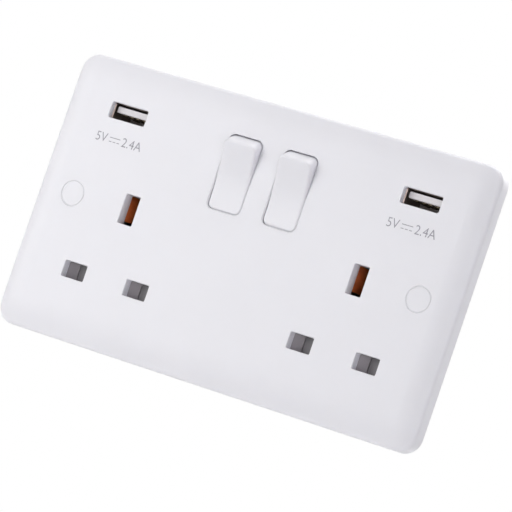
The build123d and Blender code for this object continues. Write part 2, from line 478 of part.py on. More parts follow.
def build_live_strap():
    x = TERMINALS["live"]
    rects = [upright(x, TERMINAL_Z - STRAP_LAP, FEED_Z + FEED_W / 2)]
    rects += [(x - STRAP_W / 2, ROCKER_X + STRAP_W / 2, FEED_Z - FEED_W / 2, FEED_Z + FEED_W / 2)]
    top = ROCKER_Z + BRASS_T / 2
    rects += [upright(s * ROCKER_X, FEED_Z - FEED_W / 2, top) for s in SIDES.values()]
    body = stamping(rects, BUS_D)
    for s in SIDES.values():
        body += slab(s * ROCKER_X, STRAP_W, APEX_D + FULCRUM_GAP, BUS_BACK, ROCKER_Z, BRASS_T)
    return body - rod_y(x, TERMINAL_Z, RIVET_R + RIVET_GAP, BUS_D - 1, BUS_BACK + 1)


def build_live_tail(s):
    """Strap from the switch's fixed contact to the live jaw of one outlet."""
    mid, bus = TAIL_D + BRASS_T / 2, BUS_D + BRASS_T / 2
    top, low, drop = TAIL_Z + TAIL_OVER, LINE_Z - TAIL_LAP, bus - mid
    lo, hi = sorted((s * (ROCKER_X - STRAP_W / 2), s * (LEG_X + TAIL_W / 2)))
    run = (lo, hi, TAIL_Z - TAIL_UNDER, top)
    if s < 0:
        bend = RAIL_TOP + LEFT_BEND
        body = stamping([run, upright(-LEG_X, bend, top, TAIL_W)], TAIL_D)
        leg = [(mid, bend + TAIL_START), (mid, bend), (bus, bend - drop), (bus, low)]
        return body + folded(leg, -LEG_X, TAIL_W)
    x, bend = LIVE_X["right"], RAIL_TOP + RIGHT_BEND
    body = stamping([run, upright(LEG_X, bend - CROSS_UNDER, top, TAIL_W),
                     (LEG_X - TAIL_W / 2, x + STRAP_W / 2, bend - CROSS_UNDER, bend + CROSS_OVER)], TAIL_D)
    leg = [(mid, bend + CROSS_OVER), (mid, bend), (bus, bend - drop), (bus, low)]
    return body + folded(leg, x, STRAP_W)


def build_terminal(x):
    """Brass pillar with a conductor hole, riveted through the bay floor to its strap."""
    body = slab(x, TERMINAL_W, PILLAR_D, PILLAR_BACK, TERMINAL_Z, TERMINAL_H)
    body = chamfer(body.faces().sort_by(Axis.Y)[-1].edges(), PILLAR_BEVEL)
    body += rod_y(x, TERMINAL_Z, RIVET_R, BUS_D - RIVET_HEAD_T / 2, CONDUCTOR_D)
    body += rod_y(x, TERMINAL_Z, RIVET_HEAD_R, BUS_D - RIVET_HEAD_T, BUS_D)
    body -= rod_z(x, CONDUCTOR_D, CONDUCTOR_R, TERMINAL_Z - TERMINAL_H, TERMINAL_Z + TERMINAL_H)
    return body - rod_y(x, TERMINAL_Z, CLAMP_R + CLAMP_GAP, CONDUCTOR_D, PILLAR_BACK + 1)


def build_screw(x, z, head_r, head_d, head_t, shank_r, tip_d):
    """Slotted pan-head screw driven from the rear."""
    head = rod_y(x, z, head_r, head_d, head_d + head_t)
    head = fillet(head.edges().sort_by(Axis.Y)[-1], head_t * 0.45)
    body = head + rod_y(x, z, shank_r, tip_d, head_d + 0.2)
    return body - slab(x, DRIVE_SLOT, head_d + head_t * 0.55, head_d + head_t + 1, z, 3 * head_r)


def build_shutter(xo, hand):
    """Half of a twin shutter: two wedge blades on a bar; hand -1 opens left, +1 right."""
    edge = LINE_Z - hand * BLADE_H / 2
    span = [xo + pin + u for pin in (-PIN_X, PIN_X) for u in (SEAM_X + hand * BLADE_GAP, hand * BLADE_LAP)]
    z0, z1 = sorted((edge, edge - hand * BAR_H))
    body = block(min(span), max(span), SHUTTER_BACK - BAR_T, SHUTTER_BACK, z0, z1)
    for pin in (-PIN_X, PIN_X):
        near, far = xo + pin + SEAM_X + hand * BLADE_GAP, xo + pin + hand * BLADE_LAP
        pts = [(near, SHUTTER_D + BLADE_LOW), (far, SHUTTER_D), (far, SHUTTER_BACK), (near, SHUTTER_BACK)]
        face = make_face(Polyline(*[(u, d - PLATE_DEPTH) for u, d in pts], close=True))
        body += Pos(0, 0, LINE_Z - BLADE_H / 2) * extrude(face, BLADE_H)
    return body


def build_shutter_keeper(xo):
    """Plate behind the shutters, held on four pegs of the front plate."""
    height = RAIL_TOP - RAIL_LOW + 2 * RAIL_T
    body = bar(xo, LINE_Z, keeper_width(), height, KEEPER_R, KEEPER_D, KEEPER_D + KEEPER_T)
    for pin in (-PIN_X, PIN_X):
        body -= bar(xo + pin, LINE_Z, LINE_SLOT_W, LINE_SLOT_H, SLOT_R, KEEPER_D - 1, KEEPER_D + KEEPER_T + 1)
    for x, z in peg_places(xo):
        body -= rod_y(x, z, PEG_R + PEG_GAP, KEEPER_D - 1, KEEPER_D + KEEPER_T + 1)
    return body


def build_board():
    """Charger board in one piece, bridging above the switches."""
    pts = [(-BOARD_IN, BOARD_NOTCH), (-BOARD_IN, BOARD_LOW), (-BOARD_X, BOARD_LOW), (-BOARD_X, BOARD_TOP)]
    pts += [(-x, z) for x, z in pts[::-1]]
    return plate_prism(pts, BOARD_D, BOARD_D + BOARD_T)


def build_usb(x):
    """Metal shell with its leaf springs, moulded tongue with its base, and four contact strips."""
    w, h, t = SHELL_W, SHELL_H, SHELL_T
    shell = bar(x, USB_Z, w, h, SHELL_R, USB_MOUTH, BOARD_D)
    shell -= bar(x, USB_Z, w - 2 * t, h - 2 * t, SHELL_R - t, USB_MOUTH - 1, BOARD_D + 1)
    start, floor = USB_MOUTH + LEAF_START, USB_Z - (h - t) / 2
    end = start + LEAF_LEN
    crest = (start + LEAF_LEN / 4, floor + LEAF_RISE)
    leaf = [(start, floor + LEAF_RISE / 2), crest, (end, floor), (end + t, floor)]
    for u in (-LEAF_X, LEAF_X):
        shell -= slab(x + u, LEAF_W + 2 * LEAF_GAP, start - LEAF_GAP, end, floor, 3 * t)
        shell += folded(leaf, x + u, LEAF_W, t, LEAF_R)
    tongue = bar(x, USB_Z + TONGUE_RISE, TONGUE_W, TONGUE_T, TONGUE_R, TONGUE_FRONT, TONGUE_BASE + 1)
    inset = 2 * (t + SHELL_FIT)
    tongue += bar(x, USB_Z, w - inset, h - inset, SHELL_R - t, TONGUE_BASE, BOARD_D)
    z, pins = USB_Z + TONGUE_RISE - (TONGUE_T + STRIP_T) / 2 + STRIP_GAP, []
    start, room = TONGUE_FRONT + STRIP_START, 2 * STRIP_GAP
    for u in STRIP_X:
        tongue -= slab(x + u, STRIP_W + room, start - STRIP_GAP, BOARD_D + 1, z, STRIP_T + room)
        pins.append(slab(x + u, STRIP_W, start, BOARD_D, z, STRIP_T))
    return shell, tongue, Compound(children=pins)


def build_can(x, z, r, length):
    """Electrolytic can standing on the board, with rolled top and crimp groove."""
    d = BOARD_D - length
    body = rod_y(x, z, r, d, BOARD_D)
    body = fillet(body.edges().sort_by(Axis.Y)[0], CAN_ROUND)
    ring = rod_y(x, z, r + 1, BOARD_D - CRIMP_START, BOARD_D - CRIMP_END)
    return body - (ring - rod_y(x, z, r - CRIMP_DEPTH, d, BOARD_D))


def lead(points):
    """Round insulated wire through (x, depth, z) points, square to the metal at both ends."""
    path = Spline(*[(x, d - PLATE_DEPTH, z) for x, d, z in points], tangents=[(0, -1, 0), (0, 1, 0)])
    return sweep(Plane(origin=path @ 0, z_dir=path % 0) * Circle(LEAD_R), path=path)


def build_charger():
    """Board, transformer, parts on the board and the two mains leads."""
    save(build_board(), "charger_board")
    x, z = -BOARD_IN - CORE_IN - CORE_W / 2, BOARD_LOW + CORE_FOOT + CORE_H / 2
    back = BOARD_D - CORE_LIFT
    front = back - CORE_T
    window_w, window_h = CORE_W - 2 * CORE_LIMB, CORE_H - 2 * CORE_LIMB
    core = slab(x, CORE_W, front, back, z, CORE_H) - slab(x, window_w, 0, BOARD_D, z, window_h)
    save(core, "transformer_core")
    winding = slab(x, window_w, front - COIL_PROUD, BOARD_D, z, window_h)
    winding += slab(x, window_w + COIL_OVER_X, front - COIL_TOP, front, z, window_h + COIL_OVER_Z)
    save(winding, "transformer_winding")
    x, z = BOARD_IN + CAN_IN + BULK_R, BOARD_LOW + CAN_RISE
    save(build_can(x, z, BULK_R, BULK_LEN), "bulk_capacitor")
    x += BULK_R + PART_GAP + OUTPUT_R
    save(build_can(x, z, OUTPUT_R, OUTPUT_LEN), "output_capacitor")
    x += OUTPUT_R + PART_GAP + CHIP_W / 2
    save(slab(x, CHIP_W, BOARD_D - CHIP_T, BOARD_D, z, CHIP_H), "controller_chip")
    x, z = BRIDGE_IN - BOARD_X, BOARD_LOW + BRIDGE_RISE
    save(slab(x, BRIDGE_W, BOARD_D - BRIDGE_T, BOARD_D, z, BRIDGE_H), "bridge_rectifier")
    front, x = TAIL_D + BRASS_T + DISC_CLEAR, ROCKER_X + RIB_X + DISC_OUT
    save(bar(x, TAIL_Z, DISC_W, DISC_H, DISC_R, front, BOARD_D), "y_capacitor")
    r = (BOARD_D - front) / 2
    save(rod_x(BOARD_D - r, TAIL_Z, r, -x - FUSE_LEN / 2, FUSE_LEN / 2 - x), "fuse")
    build_leads()


def build_leads():
    """Live and neutral leads from the straps to the top of the board."""
    dip, end = BUS_D - LEAD_DIP, (BOARD_D, BOARD_NOTCH + LEAD_END)
    x = ROCKER_X + STRAP_W / 2 + LEAD_R + LEAD_CLEAR
    live = [(x - LEAD_FOOT_IN, BUS_D, FEED_Z), (x, dip, FEED_Z + LEAD_CURL), (x, dip, ROCKER_Z + LEAD_OVER),
            (x + LEAD_SPREAD, *end)]
    save(lead([(-u, d, z) for u, d, z in live]), "charger_lead_live")
    low = FEED_Z - STRAP_W / 2 - LEAD_DROP
    neutral = [(TERMINALS["neutral"], BUS_D, low), (x, dip, FEED_Z - LEAD_CURL), *live[2:]]
    save(lead(neutral), "charger_lead_neutral")


def main():
    save(build_front_plate(), "front_plate")
    save(build_rear_cover(), "rear_cover")
    seat = WELL_START + WELL_SEAT
    screws = [build_screw(x, z, SCREW_HEAD_R, seat, SCREW_HEAD_T, SCREW_R, WELL_START - SCREW_BITE)
              for x, z in COVER_SCREWS]
    save(Compound(children=screws), "cover_screws", group=True)
    save(build_earth_strap(), "earth_strap")
    save(build_neutral_strap(), "neutral_strap")
    save(build_live_strap(), "live_strap")
    for name, x in TERMINALS.items():
        save(build_terminal(x), f"terminal_{name}")
    tip = CONDUCTOR_D + CONDUCTOR_R + CLAMP_LIFT
    screws = [build_screw(x, TERMINAL_Z, CLAMP_HEAD_R, PILLAR_BACK, CLAMP_HEAD_T, CLAMP_R, tip)
              for x in TERMINALS.values()]
    save(Compound(children=screws), "terminal_screws", group=True)
    for side, s in SIDES.items():
        xr, xo = s * ROCKER_X, s * OUTLET_X
        save(build_cap(s * FIX_X), f"screw_cap_{side}")
        save(at_pivot(build_rocker(), xr, REST_TILT), f"rocker_{side}")
        save(at_pivot(build_plunger(), xr, REST_TILT), f"plunger_{side}")
        spring = coil(SPRING_R, SPRING_LEN, SPRING_TURNS, SPRING_WIRE)
        spring = Pos(0, SPRING_FLOOR + SPRING_LEN, 0) * Rot(90, 0, 0) * spring
        save(at_pivot(spring, xr, REST_TILT), f"plunger_spring_{side}")
        save(build_contact_arm(xr), f"contact_arm_{side}")
        save(build_moving_tip(xr), f"moving_tip_{side}")
        save(rod_y(xr, TAIL_Z, TIP_R, TIP_D, TAIL_D), f"fixed_tip_{side}")
        save(build_live_tail(s), f"live_tail_{side}")
        save(build_earth_clip(xo), f"earth_contact_{side}")
        save(build_jaw(LIVE_X[side]), f"live_contact_{side}")
        save(build_jaw(NEUTRAL_X[side]), f"neutral_contact_{side}")
        save(build_shutter(xo, -1), f"shutter_{side}_a")
        save(build_shutter(xo, 1), f"shutter_{side}_b")
        save(build_shutter_keeper(xo), f"shutter_keeper_{side}")
        gap = 2 * (PIN_X - BLADE_LAP)
        place = Pos(xo - gap / 2, SHUTTER_BACK - SHUTTER_T / 2 - PLATE_DEPTH, LINE_Z) * Rot(0, 90, 0)
        save(place * coil(RETURN_R, gap, RETURN_TURNS, RETURN_WIRE), f"shutter_spring_{side}")
        shell, tongue, pins = build_usb(s * USB_X)
        save(shell, f"usb_shell_{side}")
        save(tongue, f"usb_tongue_{side}")
        save(pins, f"usb_pins_{side}", group=True)
    build_charger()


main()
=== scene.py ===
"""Looks of a two-gang switched wall socket with two charging ports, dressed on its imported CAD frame."""
import json
import logging
import math
from dataclasses import dataclass, field
from enum import Enum

import bmesh
import bpy
from mathutils import Matrix, Vector


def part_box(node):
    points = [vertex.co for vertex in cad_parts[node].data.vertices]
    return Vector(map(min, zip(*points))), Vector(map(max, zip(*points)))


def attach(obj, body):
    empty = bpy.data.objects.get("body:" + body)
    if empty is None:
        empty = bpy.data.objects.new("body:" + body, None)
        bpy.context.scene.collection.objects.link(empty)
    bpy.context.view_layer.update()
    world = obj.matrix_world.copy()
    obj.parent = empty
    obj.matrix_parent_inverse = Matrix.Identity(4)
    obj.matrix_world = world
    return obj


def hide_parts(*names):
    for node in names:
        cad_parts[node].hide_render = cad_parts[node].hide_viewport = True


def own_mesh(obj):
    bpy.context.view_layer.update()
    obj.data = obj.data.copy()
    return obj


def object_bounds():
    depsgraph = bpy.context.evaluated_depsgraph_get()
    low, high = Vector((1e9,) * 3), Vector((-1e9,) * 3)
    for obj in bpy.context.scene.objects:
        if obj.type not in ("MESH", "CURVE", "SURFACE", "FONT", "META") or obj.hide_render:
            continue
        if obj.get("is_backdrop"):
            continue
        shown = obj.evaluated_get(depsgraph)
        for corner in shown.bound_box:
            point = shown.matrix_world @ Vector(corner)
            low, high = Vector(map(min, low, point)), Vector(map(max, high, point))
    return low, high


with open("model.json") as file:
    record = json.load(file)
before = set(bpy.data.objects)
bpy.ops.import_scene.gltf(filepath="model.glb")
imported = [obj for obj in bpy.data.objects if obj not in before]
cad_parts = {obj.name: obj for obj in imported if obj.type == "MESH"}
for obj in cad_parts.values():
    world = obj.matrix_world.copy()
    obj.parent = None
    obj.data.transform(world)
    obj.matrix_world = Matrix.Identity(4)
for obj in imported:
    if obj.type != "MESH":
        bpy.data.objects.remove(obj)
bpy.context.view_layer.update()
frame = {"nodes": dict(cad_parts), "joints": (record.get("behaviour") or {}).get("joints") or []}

MM = 0.001
WELD = 0.001 * MM
# Share of a letter's size that its capitals take up
CAP_SHARE = 0.69
# How far red, green and blue light spread inside white plastic, in millimetres
SCATTER_REACH = (1.5, 1.4, 1.3)
# Noise values between which a finish runs from its first look to its second
GRAIN_ENDS = (0.3, 0.7)
TARNISH_ENDS = (0.35, 0.75)
STREAK_STRETCH = (0.06, 1.0, 1.0)
QUARTERS = ((1, 1), (-1, 1), (-1, -1), (1, -1))
LOG = logging.getLogger("wall_socket")

Pair = tuple[float, float]
Place = tuple[float, float, float]
Colour = tuple[float, float, float]
Tree = bpy.types.NodeTree
Node = bpy.types.Node
Socket = bpy.types.NodeSocket
Material = bpy.types.Material
Mesh = bpy.types.Mesh


class Side(Enum):
    """The two halves of the plate, as seen from the room."""

    LEFT = "left"
    RIGHT = "right"


class Way(Enum):
    """Whether a group's socket takes a value in or gives one out."""

    IN = "INPUT"
    OUT = "OUTPUT"


class Facing(Enum):
    """Which way a flat mark looks."""

    ROOM = "room"
    WALL = "wall"

    def turn(self) -> Matrix:
        """Turn from a drawing on the XY plane to an upright mark that faces this way."""
        across = 1 if self is Facing.ROOM else -1
        return Matrix(((across, 0, 0, 0), (0, 0, -across, 0), (0, 1, 0, 0), (0, 0, 0, 1)))


def add_socket(group: Tree, name: str, kind: str, way: Way) -> None:
    """Add a named socket to a node group.

    Args:
        group: The shader or geometry group.
        name: The socket's name.
        kind: Its type without the NodeSocket prefix, such as Float.
        way: In or out.
    """
    group.interface.new_socket(name, in_out=way.value, socket_type=f"NodeSocket{kind}")


class ShaderWorkshop:
    """Makes and keeps the shader groups and the materials that several pieces share."""

    def __init__(self) -> None:
        """Build each shared group once."""
        self.moulding = self._moulding_grain()
        self.drawn = self._drawn_metal()
        self._made: dict[str, Material] = {}

    def material(self, finish: "MouldedFinish | MetalFinish") -> Material:
        """Give a finish's material, built the first time that it is asked for.

        Args:
            finish: The finish.

        Returns:
            Its one material.
        """
        if finish.name not in self._made:
            self._made[finish.name] = finish.make(self)
        return self._made[finish.name]

    @staticmethod
    def _open_group(name: str, scales: tuple[str, str], masks: tuple[str, str]) -> tuple[Tree, Node, Node]:
        """Start a group that makes masks from coordinates.

        Args:
            name: The group's name.
            scales: Names of its number inputs.
            masks: Names of its outputs.

        Returns:
            The group, its input node and its output node.
        """
        group = bpy.data.node_groups.new(name, "ShaderNodeTree")
        add_socket(group, "Vector", "Vector", Way.IN)
        for scale in scales:
            add_socket(group, scale, "Float", Way.IN)
        for mask in masks:
            add_socket(group, mask, "Float", Way.OUT)
        return group, group.nodes.new("NodeGroupInput"), group.nodes.new("NodeGroupOutput")

    @staticmethod
    def _noise(group: Tree, vector: Socket, scale: Socket, detail: float) -> Socket:
        """Add a noise texture and give its value.

        Args:
            group: The group it goes into.
            vector: Where its coordinates come from.
            scale: Where its scale comes from.
            detail: Octaves.

        Returns:
            The noise value's socket.
        """
        noise = group.nodes.new("ShaderNodeTexNoise")
        noise.inputs["Detail"].default_value = detail
        group.links.new(vector, noise.inputs["Vector"])
        group.links.new(scale, noise.inputs["Scale"])
        return noise.outputs["Fac"]

    def _moulding_grain(self) -> Tree:
        """Faint mottling and the fine skin of a moulded surface.

        Returns:
            Group with outputs Mottle and Skin, both 0 to 1.
        """
        scales, masks = ("Mottle Scale", "Skin Scale"), ("Mottle", "Skin")
        group, put_in, put_out = self._open_group("moulding_grain", scales, masks)
        where = put_in.outputs["Vector"]
        mottle = self._noise(group, where, put_in.outputs["Mottle Scale"], detail=2.0)
        skin = self._noise(group, where, put_in.outputs["Skin Scale"], detail=1.0)
        group.links.new(mottle, put_out.inputs["Mottle"])
        group.links.new(skin, put_out.inputs["Skin"])
        return group

    def _drawn_metal(self) -> Tree:
        """Fine streaks along the rolling direction, with broad tarnish.

        Returns:
            Group with outputs Streak and Tarnish, both 0 to 1.
        """
        scales, masks = ("Streak Scale", "Tarnish Scale"), ("Streak", "Tarnish")
        group, put_in, put_out = self._open_group("drawn_metal", scales, masks)
        where = put_in.outputs["Vector"]
        stretch = group.nodes.new("ShaderNodeVectorMath")
        stretch.operation = "MULTIPLY"
        stretch.inputs[1].default_value = STREAK_STRETCH
        group.links.new(where, stretch.inputs[0])
        streak = self._noise(group, stretch.outputs["Vector"], put_in.outputs["Streak Scale"], detail=2.0)
        tarnish = self._noise(group, where, put_in.outputs["Tarnish Scale"], detail=3.0)
        group.links.new(streak, put_out.inputs["Streak"])
        group.links.new(tarnish, put_out.inputs["Tarnish"])
        return group


def object_coordinates(tree: Tree) -> Socket:
    """Give the Object coordinates of a material's tree."""
    return tree.nodes.new("ShaderNodeTexCoord").outputs["Object"]


def place_group(tree: Tree, group: Tree, values: dict[str, float]) -> Node:
    """Place a shared group in a material, on Object coordinates.

    Args:
        tree: The material's tree.
        group: The shared group.
        values: Its number inputs by name.

    Returns:
        The placed node.
    """
    node = tree.nodes.new("ShaderNodeGroup")
    node.node_tree = group
    for name, value in values.items():
        node.inputs[name].default_value = value
    tree.links.new(object_coordinates(tree), node.inputs["Vector"])
    return node


def colour_between(tree: Tree, mask: Socket, low: Colour, high: Colour, ends: Pair = GRAIN_ENDS) -> Socket:
    """Colour that runs from low to high as a mask rises.

    Args:
        tree: The material's tree.
        mask: Value from 0 to 1.
        low: Colour at the first end.
        high: Colour at the second end.
        ends: Mask values of the two colours.

    Returns:
        The colour's socket.
    """
    ramp = tree.nodes.new("ShaderNodeValToRGB")
    for stop, place, colour in zip(ramp.color_ramp.elements, ends, (low, high)):
        stop.position = place
        stop.color = (*colour, 1.0)
    tree.links.new(mask, ramp.inputs["Fac"])
    return ramp.outputs["Color"]


def value_between(tree: Tree, mask: Socket, low: float, high: float) -> Socket:
    """Number that runs from low to high as a mask rises between the grain's ends.

    Args:
        tree: The material's tree.
        mask: Value from 0 to 1.
        low: Number at the low end.
        high: Number at the high end.

    Returns:
        The number's socket.
    """
    span = tree.nodes.new("ShaderNodeMapRange")
    names = ("From Min", "From Max", "To Min", "To Max")
    for name, value in zip(names, (*GRAIN_ENDS, low, high)):
        span.inputs[name].default_value = value
    tree.links.new(mask, span.inputs["Value"])
    return span.outputs["Result"]


def add_bump(tree: Tree, height: Socket, depth: float, strength: float) -> None:
    """Feed a height into the Normal of the material's shader.

    Args:
        tree: The material's tree.
        height: Height from 0 to 1.
        depth: Real depth of a full height, in metres.
        strength: Share of the bump that shows.
    """
    bump = tree.nodes.new("ShaderNodeBump")
    bump.inputs["Strength"].default_value = strength
    bump.inputs["Distance"].default_value = depth
    tree.links.new(height, bump.inputs["Height"])
    tree.links.new(bump.outputs["Normal"], tree.nodes["Principled BSDF"].inputs["Normal"])


def new_material(name: str) -> tuple[Material, Tree, Node]:
    """Make an empty material.

    Args:
        name: Its name.

    Returns:
        The material, its tree and its Principled BSDF.
    """
    material = bpy.data.materials.new(name)
    material.use_nodes = True
    return material, material.node_tree, material.node_tree.nodes["Principled BSDF"]


@dataclass(frozen=True)
class MouldedFinish:
    """Moulded or dipped plastic with faint mottling and a fine skin."""

    name: str
    colour: Colour
    roughness: float = 0.35
    spread: float = 0.03
    mottle_scale: float = 60.0
    skin_scale: float = 1500.0
    skin_depth: float = 0.02 * MM
    skin_strength: float = 0.12
    specular: float = 0.45
    scatter: float = 0.0

    def make(self, shop: ShaderWorkshop) -> Material:
        """Build the material.

        Args:
            shop: The shared groups.

        Returns:
            The finished material.
        """
        material, tree, shader = new_material(self.name)
        scales = {"Mottle Scale": self.mottle_scale, "Skin Scale": self.skin_scale}
        grain = place_group(tree, shop.moulding, scales)
        low = tuple(c * (1 - self.spread) for c in self.colour)
        high = tuple(min(c * (1 + self.spread), 1.0) for c in self.colour)
        tint = colour_between(tree, grain.outputs["Mottle"], low, high)
        tree.links.new(tint, shader.inputs["Base Color"])
        shader.inputs["Roughness"].default_value = self.roughness
        shader.inputs["Specular IOR Level"].default_value = self.specular
        shader.inputs["Subsurface Weight"].default_value = self.scatter
        shader.inputs["Subsurface Radius"].default_value = SCATTER_REACH
        shader.inputs["Subsurface Scale"].default_value = MM
        add_bump(tree, grain.outputs["Skin"], self.skin_depth, self.skin_strength)
        return material


@dataclass(frozen=True)
class MetalFinish:
    """Rolled, drawn or plated metal with fine streaks and broad tarnish."""

    name: str
    bright: Colour
    dull: Colour
    smooth: float = 0.22
    rough: float = 0.42
    streak_scale: float = 900.0
    tarnish_scale: float = 140.0
    streak_depth: float = 0.01 * MM
    streak_strength: float = 0.2

    def make(self, shop: ShaderWorkshop) -> Material:
        """Build the material.

        Args:
            shop: The shared groups.

        Returns:
            The finished material.
        """
        material, tree, shader = new_material(self.name)
        scales = {"Streak Scale": self.streak_scale, "Tarnish Scale": self.tarnish_scale}
        grain = place_group(tree, shop.drawn, scales)
        streak = grain.outputs["Streak"]
        tint = colour_between(tree, grain.outputs["Tarnish"], self.bright, self.dull, TARNISH_ENDS)
        tree.links.new(tint, shader.inputs["Base Color"])
        tree.links.new(value_between(tree, streak, self.smooth, self.rough), shader.inputs["Roughness"])
        shader.inputs["Metallic"].default_value = 1.0
        add_bump(tree, streak, self.streak_depth, self.streak_strength)
        return material


PLATE_WHITE = MouldedFinish("plate_white", (0.80, 0.795, 0.83), roughness=0.34, spread=0.008,
                            mottle_scale=40.0, skin_scale=1100.0, scatter=0.2)
NYLON = MouldedFinish("nylon_natural", (0.78, 0.74, 0.66), roughness=0.5, spread=0.04)
BRASS = MetalFinish("brass_strip", (0.76, 0.53, 0.27), (0.60, 0.38, 0.17))
WIRE = MetalFinish("spring_wire", (0.62, 0.62, 0.63), (0.48, 0.48, 0.49), smooth=0.25, rough=0.4)


def new_piece(name: str, mesh: Mesh, finish: Material, body: str) -> bpy.types.Object:
    """Link a finished mesh to the scene and let it ride a body.

    Args:
        name: The piece's name.
        mesh: Its mesh, already in the row frame.
        finish: Its material.
        body: The CAD body that it moves with.

    Returns:
        The piece.
    """
    mesh.materials.clear()
    mesh.materials.append(finish)
    piece = bpy.data.objects.new(name, mesh)
    bpy.context.scene.collection.objects.link(piece)
    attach(piece, body)
    LOG.info("piece %s rides %s with %d faces", name, body, len(mesh.polygons))
    return piece


def shape_mesh(shape: bmesh.types.BMesh, name: str) -> Mesh:
    """Keep a built shape as a mesh and free it.

    Args:
        shape: The shape, already in the row frame.
        name: Name of the mesh.

    Returns:
        The mesh.
    """
    mesh = bpy.data.meshes.new(name)
    shape.to_mesh(mesh)
    shape.free()
    return mesh


def plain_mesh(maker: bpy.types.Object, name: str) -> Mesh:
    """Evaluate an object, keep the result as a plain mesh and delete the object.

    Args:
        maker: Object with its modifiers or text.
        name: Name of the mesh.

    Returns:
        The plain mesh.
    """
    graph = bpy.context.evaluated_depsgraph_get()
    mesh = bpy.data.meshes.new_from_object(maker.evaluated_get(graph), depsgraph=graph)
    mesh.name = name
    maker.modifiers.clear()
    bpy.data.objects.remove(maker)
    return mesh


@dataclass(frozen=True)
class RingOutline:
    """Upright rounded rectangle, or circle, along one corner of a ring's section."""

    half: Pair
    radius: float
    depth: float

    def points(self, middle: Vector, steps: int) -> list[Vector]:
        """Walk round the outline.

        Args:
            middle: Middle of the ring, whose own depth doesn't count.
            steps: Straight pieces in one corner.

        Returns:
            Its points in order.
        """
        points = []
        for quarter, (sx, sz) in enumerate(QUARTERS):
            for step in range(steps + 1):
                angle = math.radians(90) * (quarter + step / steps)
                across = sx * (self.half[0] - self.radius) + self.radius * math.cos(angle)
                rise = sz * (self.half[1] - self.radius) + self.radius * math.sin(angle)
                points.append(Vector((middle.x + across, self.depth, middle.z + rise)))
        return points


def ring_mesh(name: str, middle: Vector, section: list[RingOutline], steps: int) -> Mesh:
    """Close a ring about a point.

    Args:
        name: Name of the mesh.
        middle: Middle of the ring.
        section: An outline for each corner of the ring's section, in order.
        steps: Straight pieces in one corner of an outline.

    Returns:
        The ring, with its faces outwards.
    """
    shape = bmesh.new()
    loops = []
    for outline in section:
        loops.append([shape.verts.new(point) for point in outline.points(middle, steps)])
    for loop, following in zip(loops, loops[1:] + loops[:1]):
        for i in range(len(loop)):
            shape.faces.new((loop[i - 1], loop[i], following[i], following[i - 1]))
    bmesh.ops.remove_doubles(shape, verts=shape.verts, dist=WELD)
    bmesh.ops.recalc_face_normals(shape, faces=shape.faces)
    return shape_mesh(shape, name)


@dataclass(frozen=True)
class Lettering:
    """A line of plain lettering that lies on a flat face."""

    words: str
    cap_height: float
    place: Vector
    facing: Facing
    rise: float = 0.0
    narrow: float = 1.0
    thin: float = 0.0

    def mesh(self, name: str) -> Mesh:
        """Draw the line and put it in place.

        Args:
            name: Name of the mesh.

        Returns:
            Mesh in the row frame.
        """
        curve = bpy.data.curves.new(name, "FONT")
        curve.body = self.words
        curve.align_x, curve.align_y = "CENTER", "CENTER"
        curve.size = self.cap_height / CAP_SHARE
        curve.offset = -self.thin
        curve.extrude = self.rise / 2
        writer = bpy.data.objects.new(name, curve)
        bpy.context.scene.collection.objects.link(writer)
        mesh = plain_mesh(writer, name)
        squeeze = Matrix.Diagonal((self.narrow, 1, 1, 1))
        mesh.transform(Matrix.Translation(self.place) @ self.facing.turn() @ squeeze)
        return mesh


@dataclass(frozen=True)
class Rating:
    """Printed output of a charging port: volts, the sign for direct current, amperes."""

    volts: str = "5V"
    amperes: str = "2.4A"
    cap_height: float = 2.8 * MM
    narrow: float = 0.92
    thin: float = 0.025 * MM
    gap: float = 0.85 * MM
    sign_width: float = 3.75 * MM
    line: float = 0.22 * MM
    line_gap: float = 0.62 * MM
    dashes: int = 3
    dash_share: float = 0.78

    def mesh(self, name: str, place: Vector) -> Mesh:
        """Set the three groups side by side about a point on the plate's face.

        Args:
            name: Name of the mesh.
            place: Middle of the line.

        Returns:
            Mesh in the row frame.
        """
        groups = [self._words(self.volts, place), self._sign(place), self._words(self.amperes, place)]
        spans = [(min(v.co.x for v in g.vertices), max(v.co.x for v in g.vertices)) for g in groups]
        total = sum(high - low for low, high in spans) + self.gap * (len(groups) - 1)
        left = place.x - total / 2
        shape = bmesh.new()
        for group, (low, high) in zip(groups, spans):
            group.transform(Matrix.Translation((left - low, 0, 0)))
            shape.from_mesh(group)
            bpy.data.meshes.remove(group)
            left += high - low + self.gap
        return shape_mesh(shape, name)

    def _words(self, words: str, place: Vector) -> Mesh:
        """Letter one group in the rating's narrow hand."""
        line = Lettering(words, self.cap_height, place, Facing.ROOM, narrow=self.narrow, thin=self.thin)
        return line.mesh(f"rating_{words}")

    def _sign(self, place: Vector) -> Mesh:
        """Whole line over a broken one.

        Args:
            place: Middle of the sign.

        Returns:
            Mesh in the row frame.
        """
        dash = self.sign_width / self.dashes * self.dash_share
        room = self.sign_width - dash
        bars = [(0.0, self.sign_width, self.line_gap)]
        for i in range(self.dashes):
            bars.append((i * room / (self.dashes - 1) - room / 2, dash, -self.line_gap))
        shape = bmesh.new()
        for across, width, rise in bars:
            ends = [Vector((across + sx * width / 2, 0, rise + sz * self.line / 2)) for sx, sz in QUARTERS]
            shape.faces.new([shape.verts.new(place + end) for end in ends])
        return shape_mesh(shape, "rating_sign")


